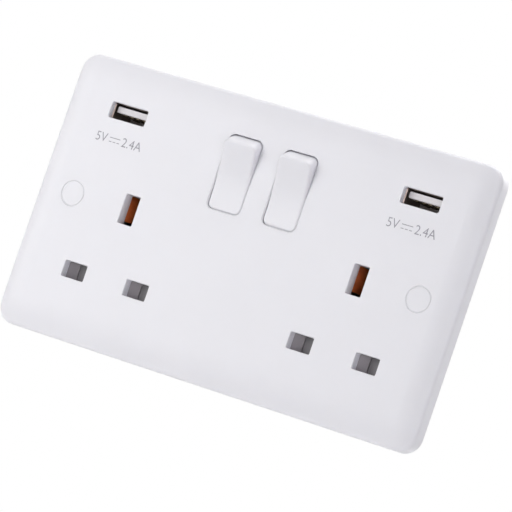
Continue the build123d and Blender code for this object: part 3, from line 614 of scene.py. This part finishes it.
class RepeatTree:
    """Geometry Nodes tree that sets one small shape along a rectangle or over a grid."""

    def __init__(self, name: str) -> None:
        """Start an empty tree with its output.

        Args:
            name: The tree's name.
        """
        self.tree = bpy.data.node_groups.new(name, "GeometryNodeTree")
        self.put_in = self.tree.nodes.new("NodeGroupInput")
        self.put_out = self.tree.nodes.new("NodeGroupOutput")
        add_socket(self.tree, "Geometry", "Geometry", Way.OUT)

    def size(self, name: str) -> Socket:
        """Add a named length and give its socket inside the tree."""
        add_socket(self.tree, name, "Float", Way.IN)
        return self.put_in.outputs[name]

    def node(self, kind: str, **links: Socket) -> Node:
        """Add a node and link sockets to its inputs.

        Args:
            kind: The node's type.
            links: Source sockets by input name, with underscores for spaces.

        Returns:
            The node.
        """
        made = self.tree.nodes.new(kind)
        for name, source in links.items():
            self.tree.links.new(source, made.inputs[name.replace("_", " ")])
        return made

    def close(self, points: Socket, shape: Socket, finish: Material) -> None:
        """Set the shape on the points, realise it and give it its material.

        Args:
            points: Where the copies go.
            shape: The shape that repeats.
            finish: Its material.
        """
        copies = self.node("GeometryNodeInstanceOnPoints", Points=points, Instance=shape)
        real = self.node("GeometryNodeRealizeInstances", Geometry=copies.outputs["Instances"])
        dressed = self.node("GeometryNodeSetMaterial", Geometry=real.outputs["Geometry"])
        dressed.inputs["Material"].default_value = finish
        self.tree.links.new(dressed.outputs["Geometry"], self.put_out.inputs["Geometry"])

    def mesh(self, name: str, sizes: dict[str, float], place: Matrix) -> Mesh:
        """Run the tree once.

        Args:
            name: Name of the mesh.
            sizes: Values of the tree's named lengths.
            place: From the tree's own plane to the row frame.

        Returns:
            Plain mesh in the row frame.
        """
        maker = bpy.data.objects.new(name, bpy.data.meshes.new(name))
        run = maker.modifiers.new(name, "NODES")
        run.node_group = self.tree
        for item in self.tree.interface.items_tree:
            if item.in_out == Way.IN.value:
                run[item.identifier] = sizes[item.name]
        bpy.context.scene.collection.objects.link(maker)
        mesh = plain_mesh(maker, name)
        mesh.transform(place)
        return mesh


def dress(finish: Material, *nodes: str) -> None:
    """Give CAD nodes their material.

    Args:
        finish: The material.
        nodes: Names of the nodes.
    """
    for name in nodes:
        mesh = frame["nodes"][name].data
        mesh.materials.clear()
        mesh.materials.append(finish)
    LOG.info("%s on %s", finish.name, ", ".join(nodes))


def joint_row(name: str) -> dict:
    """Give the frame's row of one joint."""
    return next(row for row in frame["joints"] if row["name"] == name)


def both(stem: str) -> list[str]:
    """Names of a piece on the left and on the right."""
    return [f"{stem}_{side.value}" for side in Side]


@dataclass
class FrontPlate:
    """White moulded plate with its caps, their fins, the printed ratings and ejector marks."""

    shop: ShaderWorkshop
    rating: Rating = Rating()
    rating_drop: float = 8.85 * MM
    ink_lift: float = 0.01 * MM
    mark_pitch: float = 17.0 * MM
    mark_radius: float = 1.6 * MM
    mark_rise: float = 0.06 * MM
    mark_sink: float = 0.03 * MM
    mark_sides: int = 24
    fin_depth: float = 0.17 * MM
    fin_thick: float = 0.3 * MM
    fin_reach: float = 0.2 * MM
    fin_bite: float = 0.13 * MM
    fin_steps: int = 20
    ink: MouldedFinish = MouldedFinish("rating_ink", (0.33, 0.32, 0.36), roughness=0.6, spread=0.05,
                                       mottle_scale=900.0, skin_scale=4000.0)

    def build(self) -> None:
        """Dress the plate and caps, close the caps' gaps, print the ratings and add the ejector marks."""
        white = self.shop.material(PLATE_WHITE)
        dress(white, "front_plate", *both("screw_cap"))
        for side in Side:
            self._cap_fin(side, white)
        self._print_ratings(self.shop.material(self.ink))
        self._ejector_marks(white)

    def _cap_fin(self, side: Side, white: Material) -> None:
        """Close the gap round a cap by the thin fin that holds it, a little below the face.

        Args:
            side: The cap.
            white: The plate's own finish.
        """
        low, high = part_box(f"screw_cap_{side.value}")
        middle, edge = (low + high) / 2, (high.x - low.x) / 2
        outer, inner = edge + self.fin_reach, edge - self.fin_bite
        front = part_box("front_plate")[0].y + self.fin_depth
        back = front + self.fin_thick
        section = []
        for radius, depth in ((outer, front), (inner, front), (inner, back), (outer, back)):
            section.append(RingOutline((radius, radius), radius, depth))
        name = f"cap_fin_{side.value}"
        mesh = ring_mesh(name, middle, section, self.fin_steps)
        new_piece(name, mesh, white, "socket")

    def _print_ratings(self, ink: Material) -> None:
        """Print the output rating below each charging port.

        Args:
            ink: The printing ink.
        """
        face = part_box("front_plate")[0].y
        for side in Side:
            low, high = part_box(f"usb_shell_{side.value}")
            middle = (low + high) / 2
            name = f"rating_{side.value}"
            place = Vector((middle.x, face - self.ink_lift, middle.z - self.rating_drop))
            new_piece(name, self.rating.mesh(name, place), ink, "socket")

    def _ejector_marks(self, white: Material) -> None:
        """Low round ejector marks on the plate's back, between its skirt and the rear cover.

        Args:
            white: The plate's own finish.
        """
        repeat = RepeatTree("ejector_marks")
        path = repeat.node("GeometryNodeCurvePrimitiveQuadrilateral", Width=repeat.size("Width"),
                           Height=repeat.size("Height"))
        step = repeat.node("GeometryNodeCurveToPoints", Curve=path.outputs["Curve"])
        step.mode = "LENGTH"
        repeat.tree.links.new(repeat.size("Pitch"), step.inputs["Length"])
        disc = repeat.node("GeometryNodeMeshCylinder", Radius=repeat.size("Radius"),
                           Depth=repeat.size("Rise"))
        disc.inputs["Vertices"].default_value = self.mark_sides
        repeat.close(step.outputs["Points"], disc.outputs["Mesh"], white)
        low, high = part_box("rear_cover")
        outer_low, outer_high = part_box("front_plate")
        width = (outer_high.x - outer_low.x + high.x - low.x) / 2
        height = (outer_high.z - outer_low.z + high.z - low.z) / 2
        back = low.y - self.mark_sink
        place = Matrix.Translation((0, back, 0)) @ Matrix.Rotation(math.radians(90), 4, "X")
        sizes = {"Width": width, "Height": height, "Pitch": self.mark_pitch, "Radius": self.mark_radius,
                 "Rise": 2 * self.mark_rise}
        mesh = repeat.mesh("ejector_marks", sizes, place)
        new_piece("ejector_marks", mesh, white, "socket")


@dataclass
class SwitchPair:
    """The two rockers and the lips of their openings, with plungers, springs, arms and silver contacts."""

    shop: ShaderWorkshop
    white: MouldedFinish = MouldedFinish("rocker_white", (0.80, 0.795, 0.83), roughness=0.3, spread=0.008,
                                         skin_scale=1100.0, scatter=0.2)
    silver: MetalFinish = MetalFinish("contact_silver", (0.86, 0.86, 0.85), (0.7, 0.7, 0.69), smooth=0.15,
                                      rough=0.3)
    opening: Pair = (11.9 * MM, 23.1 * MM)
    opening_corner: float = 2.2 * MM
    lip_front: Pair = (0.18 * MM, 0.03 * MM)
    lip_back: Pair = (0.18 * MM, -0.28 * MM)
    lip_root: Pair = (-0.3 * MM, -0.6 * MM)
    lip_depth: Pair = (0.2 * MM, 1.4 * MM)
    lip_lift: float = 0.12 * MM
    corner_steps: int = 10

    def build(self) -> None:
        """Dress both switches and narrow the gaps round the rockers."""
        make = self.shop.material
        for side in Side:
            self._dust_lip(side, make(PLATE_WHITE))
        dress(make(self.white), *both("rocker"))
        dress(make(NYLON), *both("plunger"))
        dress(make(WIRE), *both("plunger_spring"))
        dress(make(BRASS), *both("contact_arm"))
        dress(make(self.silver), *both("moving_tip"), *both("fixed_tip"))

    def _dust_lip(self, side: Side, white: Material) -> None:
        """Run a lip along the sides and the foot of a rocker's opening, clear of the rocker's swing.

        Args:
            side: The rocker.
            white: The plate's own finish.
        """
        pivot = Vector(joint_row(f"rocker_{side.value}_tilt")["pos_m"])
        middle = pivot + Vector((0, 0, self.lip_lift))
        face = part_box("front_plate")[0].y
        front, back = (face + depth for depth in self.lip_depth)
        root = self.lip_root
        section = []
        for inset, depth in ((root, front), (self.lip_front, front), (self.lip_back, back), (root, back)):
            half = (self.opening[0] / 2 - inset[0], self.opening[1] / 2 - inset[1] + self.lip_lift)
            section.append(RingOutline(half, self.opening_corner - max(inset), depth))
        name = f"dust_lip_{side.value}"
        mesh = ring_mesh(name, middle, section, self.corner_steps)
        new_piece(name, mesh, white, "socket")


@dataclass
class OutletPair:
    """Shutters, keepers, springs and contacts behind the plug slots."""

    shop: ShaderWorkshop
    spring_slack: float = 0.2 * MM
    pale: MouldedFinish = MouldedFinish("shutter_pale", (0.40, 0.37, 0.39), roughness=0.55, spread=0.05,
                                        mottle_scale=120.0, skin_scale=1600.0)
    # Half b is the same plastic as half a, painted darker: painted shade
    grey: MouldedFinish = MouldedFinish("shutter_grey", (0.19, 0.18, 0.19), roughness=0.55, spread=0.05,
                                        mottle_scale=120.0, skin_scale=1600.0)
    # Earth contact: its own brass, painted more orange and brighter than the other brass as light bounced
    # inside the clip (painted reflection)
    brass_and_painted_bounce: MetalFinish = MetalFinish("earth_brass_and_painted_bounce", (0.92, 0.47, 0.22), (0.72, 0.33, 0.13), smooth=0.34,
                                      rough=0.56)

    def build(self) -> None:
        """Dress the shutters, keepers, springs and plug contacts."""
        make = self.shop.material
        dress(make(self.pale), *[f"shutter_{side.value}_a" for side in Side])
        # Half b of each shutter wears the painted shade
        dress(make(self.grey), *[f"shutter_{side.value}_b" for side in Side])
        dress(make(NYLON), *both("shutter_keeper"))
        for side in Side:
            self._return_spring(side, make(WIRE))
        # The earth contact wears brass with painted bounced light
        dress(make(self.brass_and_painted_bounce), *both("earth_contact"))
        dress(make(BRASS), *both("live_contact"), *both("neutral_contact"))

    def _return_spring(self, side: Side, wire: Material) -> None:
        """Stand a welded copy in for the rigid CAD spring, which the two halves press together as they
        open; the copy is rigid too and rides the socket.

        Args:
            side: The outlet.
            wire: The spring's finish.
        """
        node, joint = f"shutter_spring_{side.value}", f"shutter_{side.value}_a_slide"
        shape = bmesh.new()
        shape.from_mesh(frame["nodes"][node].data)
        bmesh.ops.remove_doubles(shape, verts=shape.verts, dist=WELD)
        mesh = shape_mesh(shape, node)
        piece = new_piece(f"return_spring_{side.value}", mesh, wire, "socket")
        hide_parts(node)
        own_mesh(piece)


@dataclass
class ChargingPorts:
    """Plated shells with flared lips, pale tongues and gilded strips of the two ports, the strips painted
    dark as shade.
    """

    shop: ShaderWorkshop
    shell: MetalFinish = MetalFinish("port_shell", (0.46, 0.40, 0.36), (0.33, 0.29, 0.26), smooth=0.34,
                                     rough=0.52)
    tongue: MouldedFinish = MouldedFinish("port_tongue", (0.77, 0.745, 0.76), roughness=0.45, spread=0.02)
    # Gilded strips painted dark: painted shade
    gilding_painted_shade: MetalFinish = MetalFinish("port_gilding_painted_shade", (0.24, 0.20, 0.14), (0.17, 0.14, 0.10), smooth=0.45,
                                       rough=0.6)
    # Lip of the shell's own plated metal, painted darker than the shell: painted shade along the mouth
    flare: MetalFinish = MetalFinish("port_flare_painted_shade", (0.25, 0.205, 0.18), (0.19, 0.155, 0.135), smooth=0.3,
                                     rough=0.45)
    plate_lap: Pair = (0.21 * MM, 0.385 * MM)
    flare_reach: Pair = (0.34 * MM, 0.15 * MM)
    flare_rise: float = 0.34 * MM
    flare_edge: float = 0.05 * MM
    flare_radius: float = 0.6 * MM
    corner_steps: int = 6

    def build(self) -> None:
        """Dress both ports and give their shells a flared lip."""
        wear = {"usb_shell": self.shell, "usb_tongue": self.tongue, "usb_pins": self.gilding_painted_shade}
        for stem, finish in wear.items():
            dress(self.shop.material(finish), *both(stem))
        for side in Side:
            # The lip wears the shell's metal painted darker as shade
            self._lip(side, self.shop.material(self.flare))

    def _lip(self, side: Side, metal: Material) -> None:
        """Flare the shell's mouth out to the edge of the plate's opening.

        Args:
            side: The port.
            metal: The lip's finish, the shell's metal painted darker as shade.
        """
        low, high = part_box(f"usb_shell_{side.value}")
        middle, mouth = (low + high) / 2, low.y
        front, edge = mouth - self.flare_rise, mouth - self.flare_edge
        wide, tight = (0.0, 0.0), self.flare_reach
        section = []
        for inset, depth in ((wide, front), (tight, edge), (tight, mouth), (wide, mouth)):
            half = ((high.x - low.x) / 2 - self.plate_lap[0] - inset[0],
                    (high.z - low.z) / 2 - self.plate_lap[1] - inset[1])
            section.append(RingOutline(half, self.flare_radius - max(inset), depth))
        name = f"port_lip_{side.value}"
        mesh = ring_mesh(name, middle, section, self.corner_steps)
        new_piece(name, mesh, metal, "socket")


@dataclass
class RearHousing:
    """Rear cover, its screws, and the marked screw terminals."""

    shop: ShaderWorkshop
    bay_wall: float = 1.4 * MM
    mark_gap: float = 2.0 * MM
    mark_height: float = 1.9 * MM
    mark_rise: float = 0.4 * MM
    earth_bar: float = 0.34 * MM
    earth_steps: int = 4
    earth_shares: tuple[float, ...] = (1.0, 0.64, 0.28)
    white: MouldedFinish = MouldedFinish("cover_white", (0.72, 0.72, 0.72), roughness=0.5, spread=0.015,
                                         mottle_scale=50.0, skin_scale=900.0, skin_depth=0.03 * MM,
                                         skin_strength=0.2)
    zinc: MetalFinish = MetalFinish("screw_zinc", (0.74, 0.74, 0.74), (0.58, 0.57, 0.54), smooth=0.25)
    pillar: MetalFinish = MetalFinish("pillar_brass", (0.80, 0.60, 0.32), (0.66, 0.45, 0.21), smooth=0.2,
                                      rough=0.36)
    stamp: MouldedFinish = MouldedFinish("stamp_black", (0.03, 0.03, 0.035), roughness=0.5, spread=0.1,
                                         mottle_scale=600.0, skin_scale=2500.0)
    terminals: tuple[str, ...] = ("live", "earth_a", "earth_b", "neutral")
    letters: dict[str, str] = field(default_factory=lambda: {"live": "L", "neutral": "N"})

    def build(self) -> None:
        """Dress the housing's pieces and mark the terminals."""
        make = self.shop.material
        dress(make(self.white), "rear_cover")
        dress(make(self.zinc), "cover_screws", "terminal_screws")
        dress(make(self.pillar), *[f"terminal_{name}" for name in self.terminals])
        dress(make(BRASS), "earth_strap", "neutral_strap", "live_strap", *both("live_tail"))
        for name in self.terminals:
            self._mark(name, make(self.stamp))

    def _mark(self, name: str, stamp: Material) -> None:
        """Raise a letter, or the earth sign, on the bay floor below one terminal.

        Args:
            name: The terminal.
            stamp: The finish of the raised marks.
        """
        low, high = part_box(f"terminal_{name}")
        place = Vector(((low.x + high.x) / 2, self._bay_floor(), low.z - self.mark_gap))
        piece = f"mark_{name}"
        if name in self.letters:
            letter = Lettering(self.letters[name], self.mark_height, place, Facing.WALL, self.mark_rise)
            mesh = letter.mesh(piece)
        else:
            mesh = self._earth_sign(piece, place)
        new_piece(piece, mesh, stamp, "socket")

    def _bay_floor(self) -> float:
        """Depth of the terminal bay's floor, one wall behind the live strap."""
        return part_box("live_strap")[1].y + self.bay_wall

    def _earth_sign(self, name: str, place: Vector) -> Mesh:
        """Stem over three bars of falling length.

        Args:
            name: Name of the mesh.
            place: Middle of the sign.

        Returns:
            Mesh in the row frame.
        """
        step = self.mark_height / self.earth_steps
        bars = [(self.earth_bar, 2 * step, step)]
        for i, share in enumerate(self.earth_shares):
            bars.append((self.mark_height * share, self.earth_bar, -i * step))
        shape = bmesh.new()
        for width, height, rise in bars:
            size = Matrix.Diagonal((width, self.mark_rise, height, 1))
            spot = Matrix.Translation(place + Vector((0, 0, rise)))
            bmesh.ops.create_cube(shape, size=1, matrix=spot @ size)
        return shape_mesh(shape, name)


@dataclass
class ChargerBoard:
    """Green charger board with its parts, leads, legs and soldered joints."""

    shop: ShaderWorkshop
    bead_radius: float = 0.55 * MM
    bead_tip: float = 0.2 * MM
    bead_rise: float = 0.45 * MM
    bead_sides: int = 10
    bead_rows: int = 4
    bead_columns: int = 7
    leg_width: float = 0.42 * MM
    leg_reach: float = 0.9 * MM
    leg_rise: float = 0.5 * MM
    leg_rows: int = 2
    legs_each_side: int = 4
    lacquer: MouldedFinish = MouldedFinish("board_green", (0.025, 0.13, 0.05), roughness=0.3, spread=0.15,
                                           mottle_scale=500.0, skin_scale=2600.0)
    ferrite: MouldedFinish = MouldedFinish("ferrite_black", (0.03, 0.03, 0.033), roughness=0.55, spread=0.2,
                                           mottle_scale=400.0, skin_scale=1800.0)
    tape: MouldedFinish = MouldedFinish("tape_yellow", (0.72, 0.50, 0.04), roughness=0.3, spread=0.08,
                                        mottle_scale=200.0)
    sleeve: MouldedFinish = MouldedFinish("sleeve_black", (0.012, 0.012, 0.018), roughness=0.3, spread=0.15,
                                          mottle_scale=300.0)
    epoxy: MouldedFinish = MouldedFinish("epoxy_black", (0.012, 0.012, 0.012), roughness=0.6, spread=0.2,
                                         mottle_scale=700.0, skin_scale=3000.0)
    dip: MouldedFinish = MouldedFinish("dipped_blue", (0.01, 0.06, 0.32), spread=0.12,
                                       mottle_scale=300.0, skin_scale=1200.0)
    ceramic: MouldedFinish = MouldedFinish("ceramic_tan", (0.55, 0.42, 0.26), roughness=0.6, spread=0.08,
                                           mottle_scale=400.0, skin_scale=1800.0)
    brown: MouldedFinish = MouldedFinish("lead_brown", (0.12, 0.045, 0.015), roughness=0.45, spread=0.08)
    blue: MouldedFinish = MouldedFinish("lead_blue", (0.015, 0.07, 0.34), roughness=0.45, spread=0.08)
    solder: MetalFinish = MetalFinish("solder_tin", (0.72, 0.72, 0.73), (0.55, 0.55, 0.56), smooth=0.2,
                                      rough=0.4)

    def build(self) -> None:
        """Dress the board and its parts, give the packages legs and solder what stands on the board."""
        wear = {"charger_board": self.lacquer, "transformer_core": self.ferrite,
                "transformer_winding": self.tape, "bulk_capacitor": self.sleeve,
                "output_capacitor": self.sleeve, "controller_chip": self.epoxy,
                "bridge_rectifier": self.epoxy, "y_capacitor": self.dip, "fuse": self.ceramic,
                "charger_lead_live": self.brown, "charger_lead_neutral": self.blue}
        for node, finish in wear.items():
            dress(self.shop.material(finish), node)
        tin = self.shop.material(self.solder)
        beads = self._bead_tree(tin)
        for node in ("transformer_core", "bulk_capacitor"):
            self._solder(beads, node, tin)
        legs = self._leg_tree(tin)
        for node in ("controller_chip", "bridge_rectifier"):
            self._legs(legs, node, tin)

    def _bead_tree(self, tin: Material) -> RepeatTree:
        """Tree that sets blunt cones of solder over a grid.

        Args:
            tin: The solder.

        Returns:
            The tree.
        """
        repeat = RepeatTree("solder_beads")
        grid = repeat.node("GeometryNodeMeshGrid", Size_X=repeat.size("Width"),
                           Size_Y=repeat.size("Height"))
        grid.inputs["Vertices X"].default_value = self.bead_columns
        grid.inputs["Vertices Y"].default_value = self.bead_rows
        bead = repeat.node("GeometryNodeMeshCone", Radius_Top=repeat.size("Tip"),
                           Radius_Bottom=repeat.size("Foot"), Depth=repeat.size("Rise"))
        bead.inputs["Vertices"].default_value = self.bead_sides
        repeat.close(grid.outputs["Mesh"], bead.outputs["Mesh"], tin)
        return repeat

    def _solder(self, beads: RepeatTree, node: str, tin: Material) -> None:
        """Set rows of solder beads on the board's back, behind one part.

        Args:
            beads: The tree of beads.
            node: The part that is soldered.
            tin: The solder.
        """
        low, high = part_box(node)
        sizes = {"Width": high.x - low.x, "Height": high.z - low.z, "Tip": self.bead_tip,
                 "Foot": self.bead_radius, "Rise": self.bead_rise}
        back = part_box("charger_board")[1].y
        place = Matrix.Translation(((low.x + high.x) / 2, back, (low.z + high.z) / 2))
        name = f"solder_{node}"
        mesh = beads.mesh(name, sizes, place @ Matrix.Rotation(math.radians(-90), 4, "X"))
        new_piece(name, mesh, tin, "socket")

    def _leg_tree(self, tin: Material) -> RepeatTree:
        """Tree that sets two rows of flat legs, one on each side of a package.

        Args:
            tin: The tinned metal.

        Returns:
            The tree.
        """
        repeat = RepeatTree("package_legs")
        grid = repeat.node("GeometryNodeMeshGrid", Size_X=repeat.size("Row"), Size_Y=repeat.size("Apart"))
        grid.inputs["Vertices X"].default_value = self.legs_each_side
        grid.inputs["Vertices Y"].default_value = self.leg_rows
        size = repeat.node("ShaderNodeCombineXYZ", X=repeat.size("Width"), Y=repeat.size("Reach"),
                           Z=repeat.size("Rise"))
        leg = repeat.node("GeometryNodeMeshCube", Size=size.outputs["Vector"])
        repeat.close(grid.outputs["Mesh"], leg.outputs["Mesh"], tin)
        return repeat

    def _legs(self, legs: RepeatTree, node: str, tin: Material) -> None:
        """Give a package its legs, flat on the board's front.

        Args:
            legs: The tree of legs.
            node: The package.
            tin: The tinned metal.
        """
        low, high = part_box(node)
        row = (high.x - low.x) * (self.legs_each_side - 1) / self.legs_each_side
        sizes = {"Row": row, "Apart": high.z - low.z + self.leg_reach, "Width": self.leg_width,
                 "Reach": self.leg_reach, "Rise": self.leg_rise}
        middle = (low + high) / 2
        place = Matrix.Translation((middle.x, high.y - self.leg_rise / 2, middle.z))
        name = f"legs_{node}"
        mesh = legs.mesh(name, sizes, place @ Matrix.Rotation(math.radians(90), 4, "X"))
        new_piece(name, mesh, tin, "socket")


@dataclass(frozen=True)
class Lamp:
    """A soft flat lamp that looks at the plate: place and size in metres, power in watts."""

    name: str
    place: Place
    size: Pair
    power: float
    tint: Colour = (1.0, 1.0, 1.0)

    def hang(self) -> None:
        """Hang the lamp in the scene."""
        light = bpy.data.lights.new(self.name, "AREA")
        light.shape = "RECTANGLE"
        light.size, light.size_y = self.size
        light.energy = self.power
        light.color = self.tint
        lamp = bpy.data.objects.new(self.name, light)
        lamp.location = self.place
        lamp.rotation_euler = Vector(self.place).to_track_quat("Z", "Y").to_euler()
        bpy.context.scene.collection.objects.link(lamp)


@dataclass
class Studio:
    """Camera at the photograph's angle, soft lamps, white surround and a pale floor."""

    aim: Place = (1.901 * MM, 1.147 * MM, -1.332 * MM)
    distance: float = 1.077
    azimuth: float = 28.539
    elevation: float = -3.237
    roll: float = 18.913
    lens: float = 257.4
    sensor: float = 36.0
    clip: Pair = (0.01, 50.0)
    lamps: tuple[Lamp, ...] = (
        Lamp("key", (-0.55, -0.65, 0.08), (0.65, 0.45), 3.4),
        Lamp("fill", (1.2, -0.8, 0.06), (0.9, 0.42), 4.3, (0.94, 0.92, 1.0)),
        Lamp("rear", (0.3, 1.6, 0.9), (1.4, 1.4), 10.0),
        Lamp("top", (0.1, 0.1, 1.2), (1.0, 1.0), 13.5))
    surround: float = 0.15
    floor_drop: float = 0.12
    floor_half: float = 1.6
    floor_tone: float = 0.82
    floor_roughness: float = 0.9
    fade_start: float = 0.2
    fade_share: float = 0.75

    def build(self) -> None:
        """Set up camera, lamps, world and floor."""
        self._camera()
        for lamp in self.lamps:
            lamp.hang()
        self._world()
        self._floor()
        bpy.context.scene.view_settings.view_transform = "Standard"

    def _camera(self) -> None:
        """Place the camera where the photograph was taken from."""
        lens = bpy.data.cameras.new("camera")
        lens.lens, lens.sensor_width = self.lens, self.sensor
        lens.clip_start, lens.clip_end = self.clip
        eye = bpy.data.objects.new("camera", lens)
        round_plate = Matrix.Rotation(math.radians(self.azimuth), 4, "Z")
        upright = Matrix.Rotation(math.radians(90 - self.elevation), 4, "X")
        lean = Matrix.Rotation(math.radians(self.roll), 4, "Z")
        away = Matrix.Translation((0, 0, self.distance))
        eye.matrix_world = Matrix.Translation(self.aim) @ round_plate @ upright @ lean @ away
        bpy.context.scene.collection.objects.link(eye)
        bpy.context.scene.camera = eye

    def _world(self) -> None:
        """White where the camera, a mirror or glass looks, and a soft grey as a light."""
        world = bpy.data.worlds.new("surround")
        world.use_nodes = True
        bpy.context.scene.world = world
        tree = world.node_tree
        tree.nodes.clear()
        path = tree.nodes.new("ShaderNodeLightPath")
        seen = path.outputs["Is Camera Ray"]
        for ray in ("Is Glossy Ray", "Is Transmission Ray"):
            both_rays = tree.nodes.new("ShaderNodeMath")
            both_rays.operation = "MAXIMUM"
            tree.links.new(seen, both_rays.inputs[0])
            tree.links.new(path.outputs[ray], both_rays.inputs[1])
            seen = both_rays.outputs["Value"]
        soft, white = tree.nodes.new("ShaderNodeBackground"), tree.nodes.new("ShaderNodeBackground")
        soft.inputs["Strength"].default_value = self.surround
        for background in (soft, white):
            background.inputs["Color"].default_value = (1, 1, 1, 1)
        mix, out = tree.nodes.new("ShaderNodeMixShader"), tree.nodes.new("ShaderNodeOutputWorld")
        tree.links.new(seen, mix.inputs["Fac"])
        tree.links.new(soft.outputs["Background"], mix.inputs[1])
        tree.links.new(white.outputs["Background"], mix.inputs[2])
        tree.links.new(mix.outputs["Shader"], out.inputs["Surface"])

    def _floor(self) -> None:
        """Lay the pale floor, which fades into the white surround away from the object."""
        level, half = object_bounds()[0].z - self.floor_drop, self.floor_half
        mesh = bpy.data.meshes.new("floor")
        rim = [(sx * half, sy * half, level) for sx, sy in QUARTERS]
        mesh.from_pydata(rim, [], [(0, 1, 2, 3)])
        mesh.materials.append(self._floor_finish())
        floor = bpy.data.objects.new("floor", mesh)
        bpy.context.scene.collection.objects.link(floor)
        floor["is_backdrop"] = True

    def _floor_finish(self) -> Material:
        """Pale matt floor, plain white to the camera towards its rim.

        Returns:
            The floor's material.
        """
        material, tree, shader = new_material("floor_pale")
        shader.inputs["Base Color"].default_value = (self.floor_tone, self.floor_tone, self.floor_tone, 1)
        shader.inputs["Roughness"].default_value = self.floor_roughness
        reach = tree.nodes.new("ShaderNodeVectorMath")
        reach.operation = "LENGTH"
        tree.links.new(object_coordinates(tree), reach.inputs[0])
        fade = tree.nodes.new("ShaderNodeMapRange")
        fade.interpolation_type = "SMOOTHSTEP"
        fade.inputs["From Min"].default_value = self.fade_start
        fade.inputs["From Max"].default_value = self.fade_share * self.floor_half
        tree.links.new(reach.outputs["Value"], fade.inputs["Value"])
        seen = tree.nodes.new("ShaderNodeMath")
        seen.operation = "MULTIPLY"
        tree.links.new(fade.outputs["Result"], seen.inputs[0])
        tree.links.new(tree.nodes.new("ShaderNodeLightPath").outputs["Is Camera Ray"], seen.inputs[1])
        glow, mix = tree.nodes.new("ShaderNodeEmission"), tree.nodes.new("ShaderNodeMixShader")
        tree.links.new(seen.outputs["Value"], mix.inputs["Fac"])
        tree.links.new(shader.outputs["BSDF"], mix.inputs[1])
        tree.links.new(glow.outputs["Emission"], mix.inputs[2])
        tree.links.new(mix.outputs["Shader"], tree.nodes["Material Output"].inputs["Surface"])
        return material


def main() -> None:
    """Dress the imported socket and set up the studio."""
    logging.basicConfig(level=logging.INFO, format="%(name)s: %(message)s")
    shop = ShaderWorkshop()
    groups = (FrontPlate(shop), SwitchPair(shop), OutletPair(shop), ChargingPorts(shop), RearHousing(shop),
              ChargerBoard(shop), Studio())
    for group in groups:
        group.build()


if __name__ == "__main__":
    main()
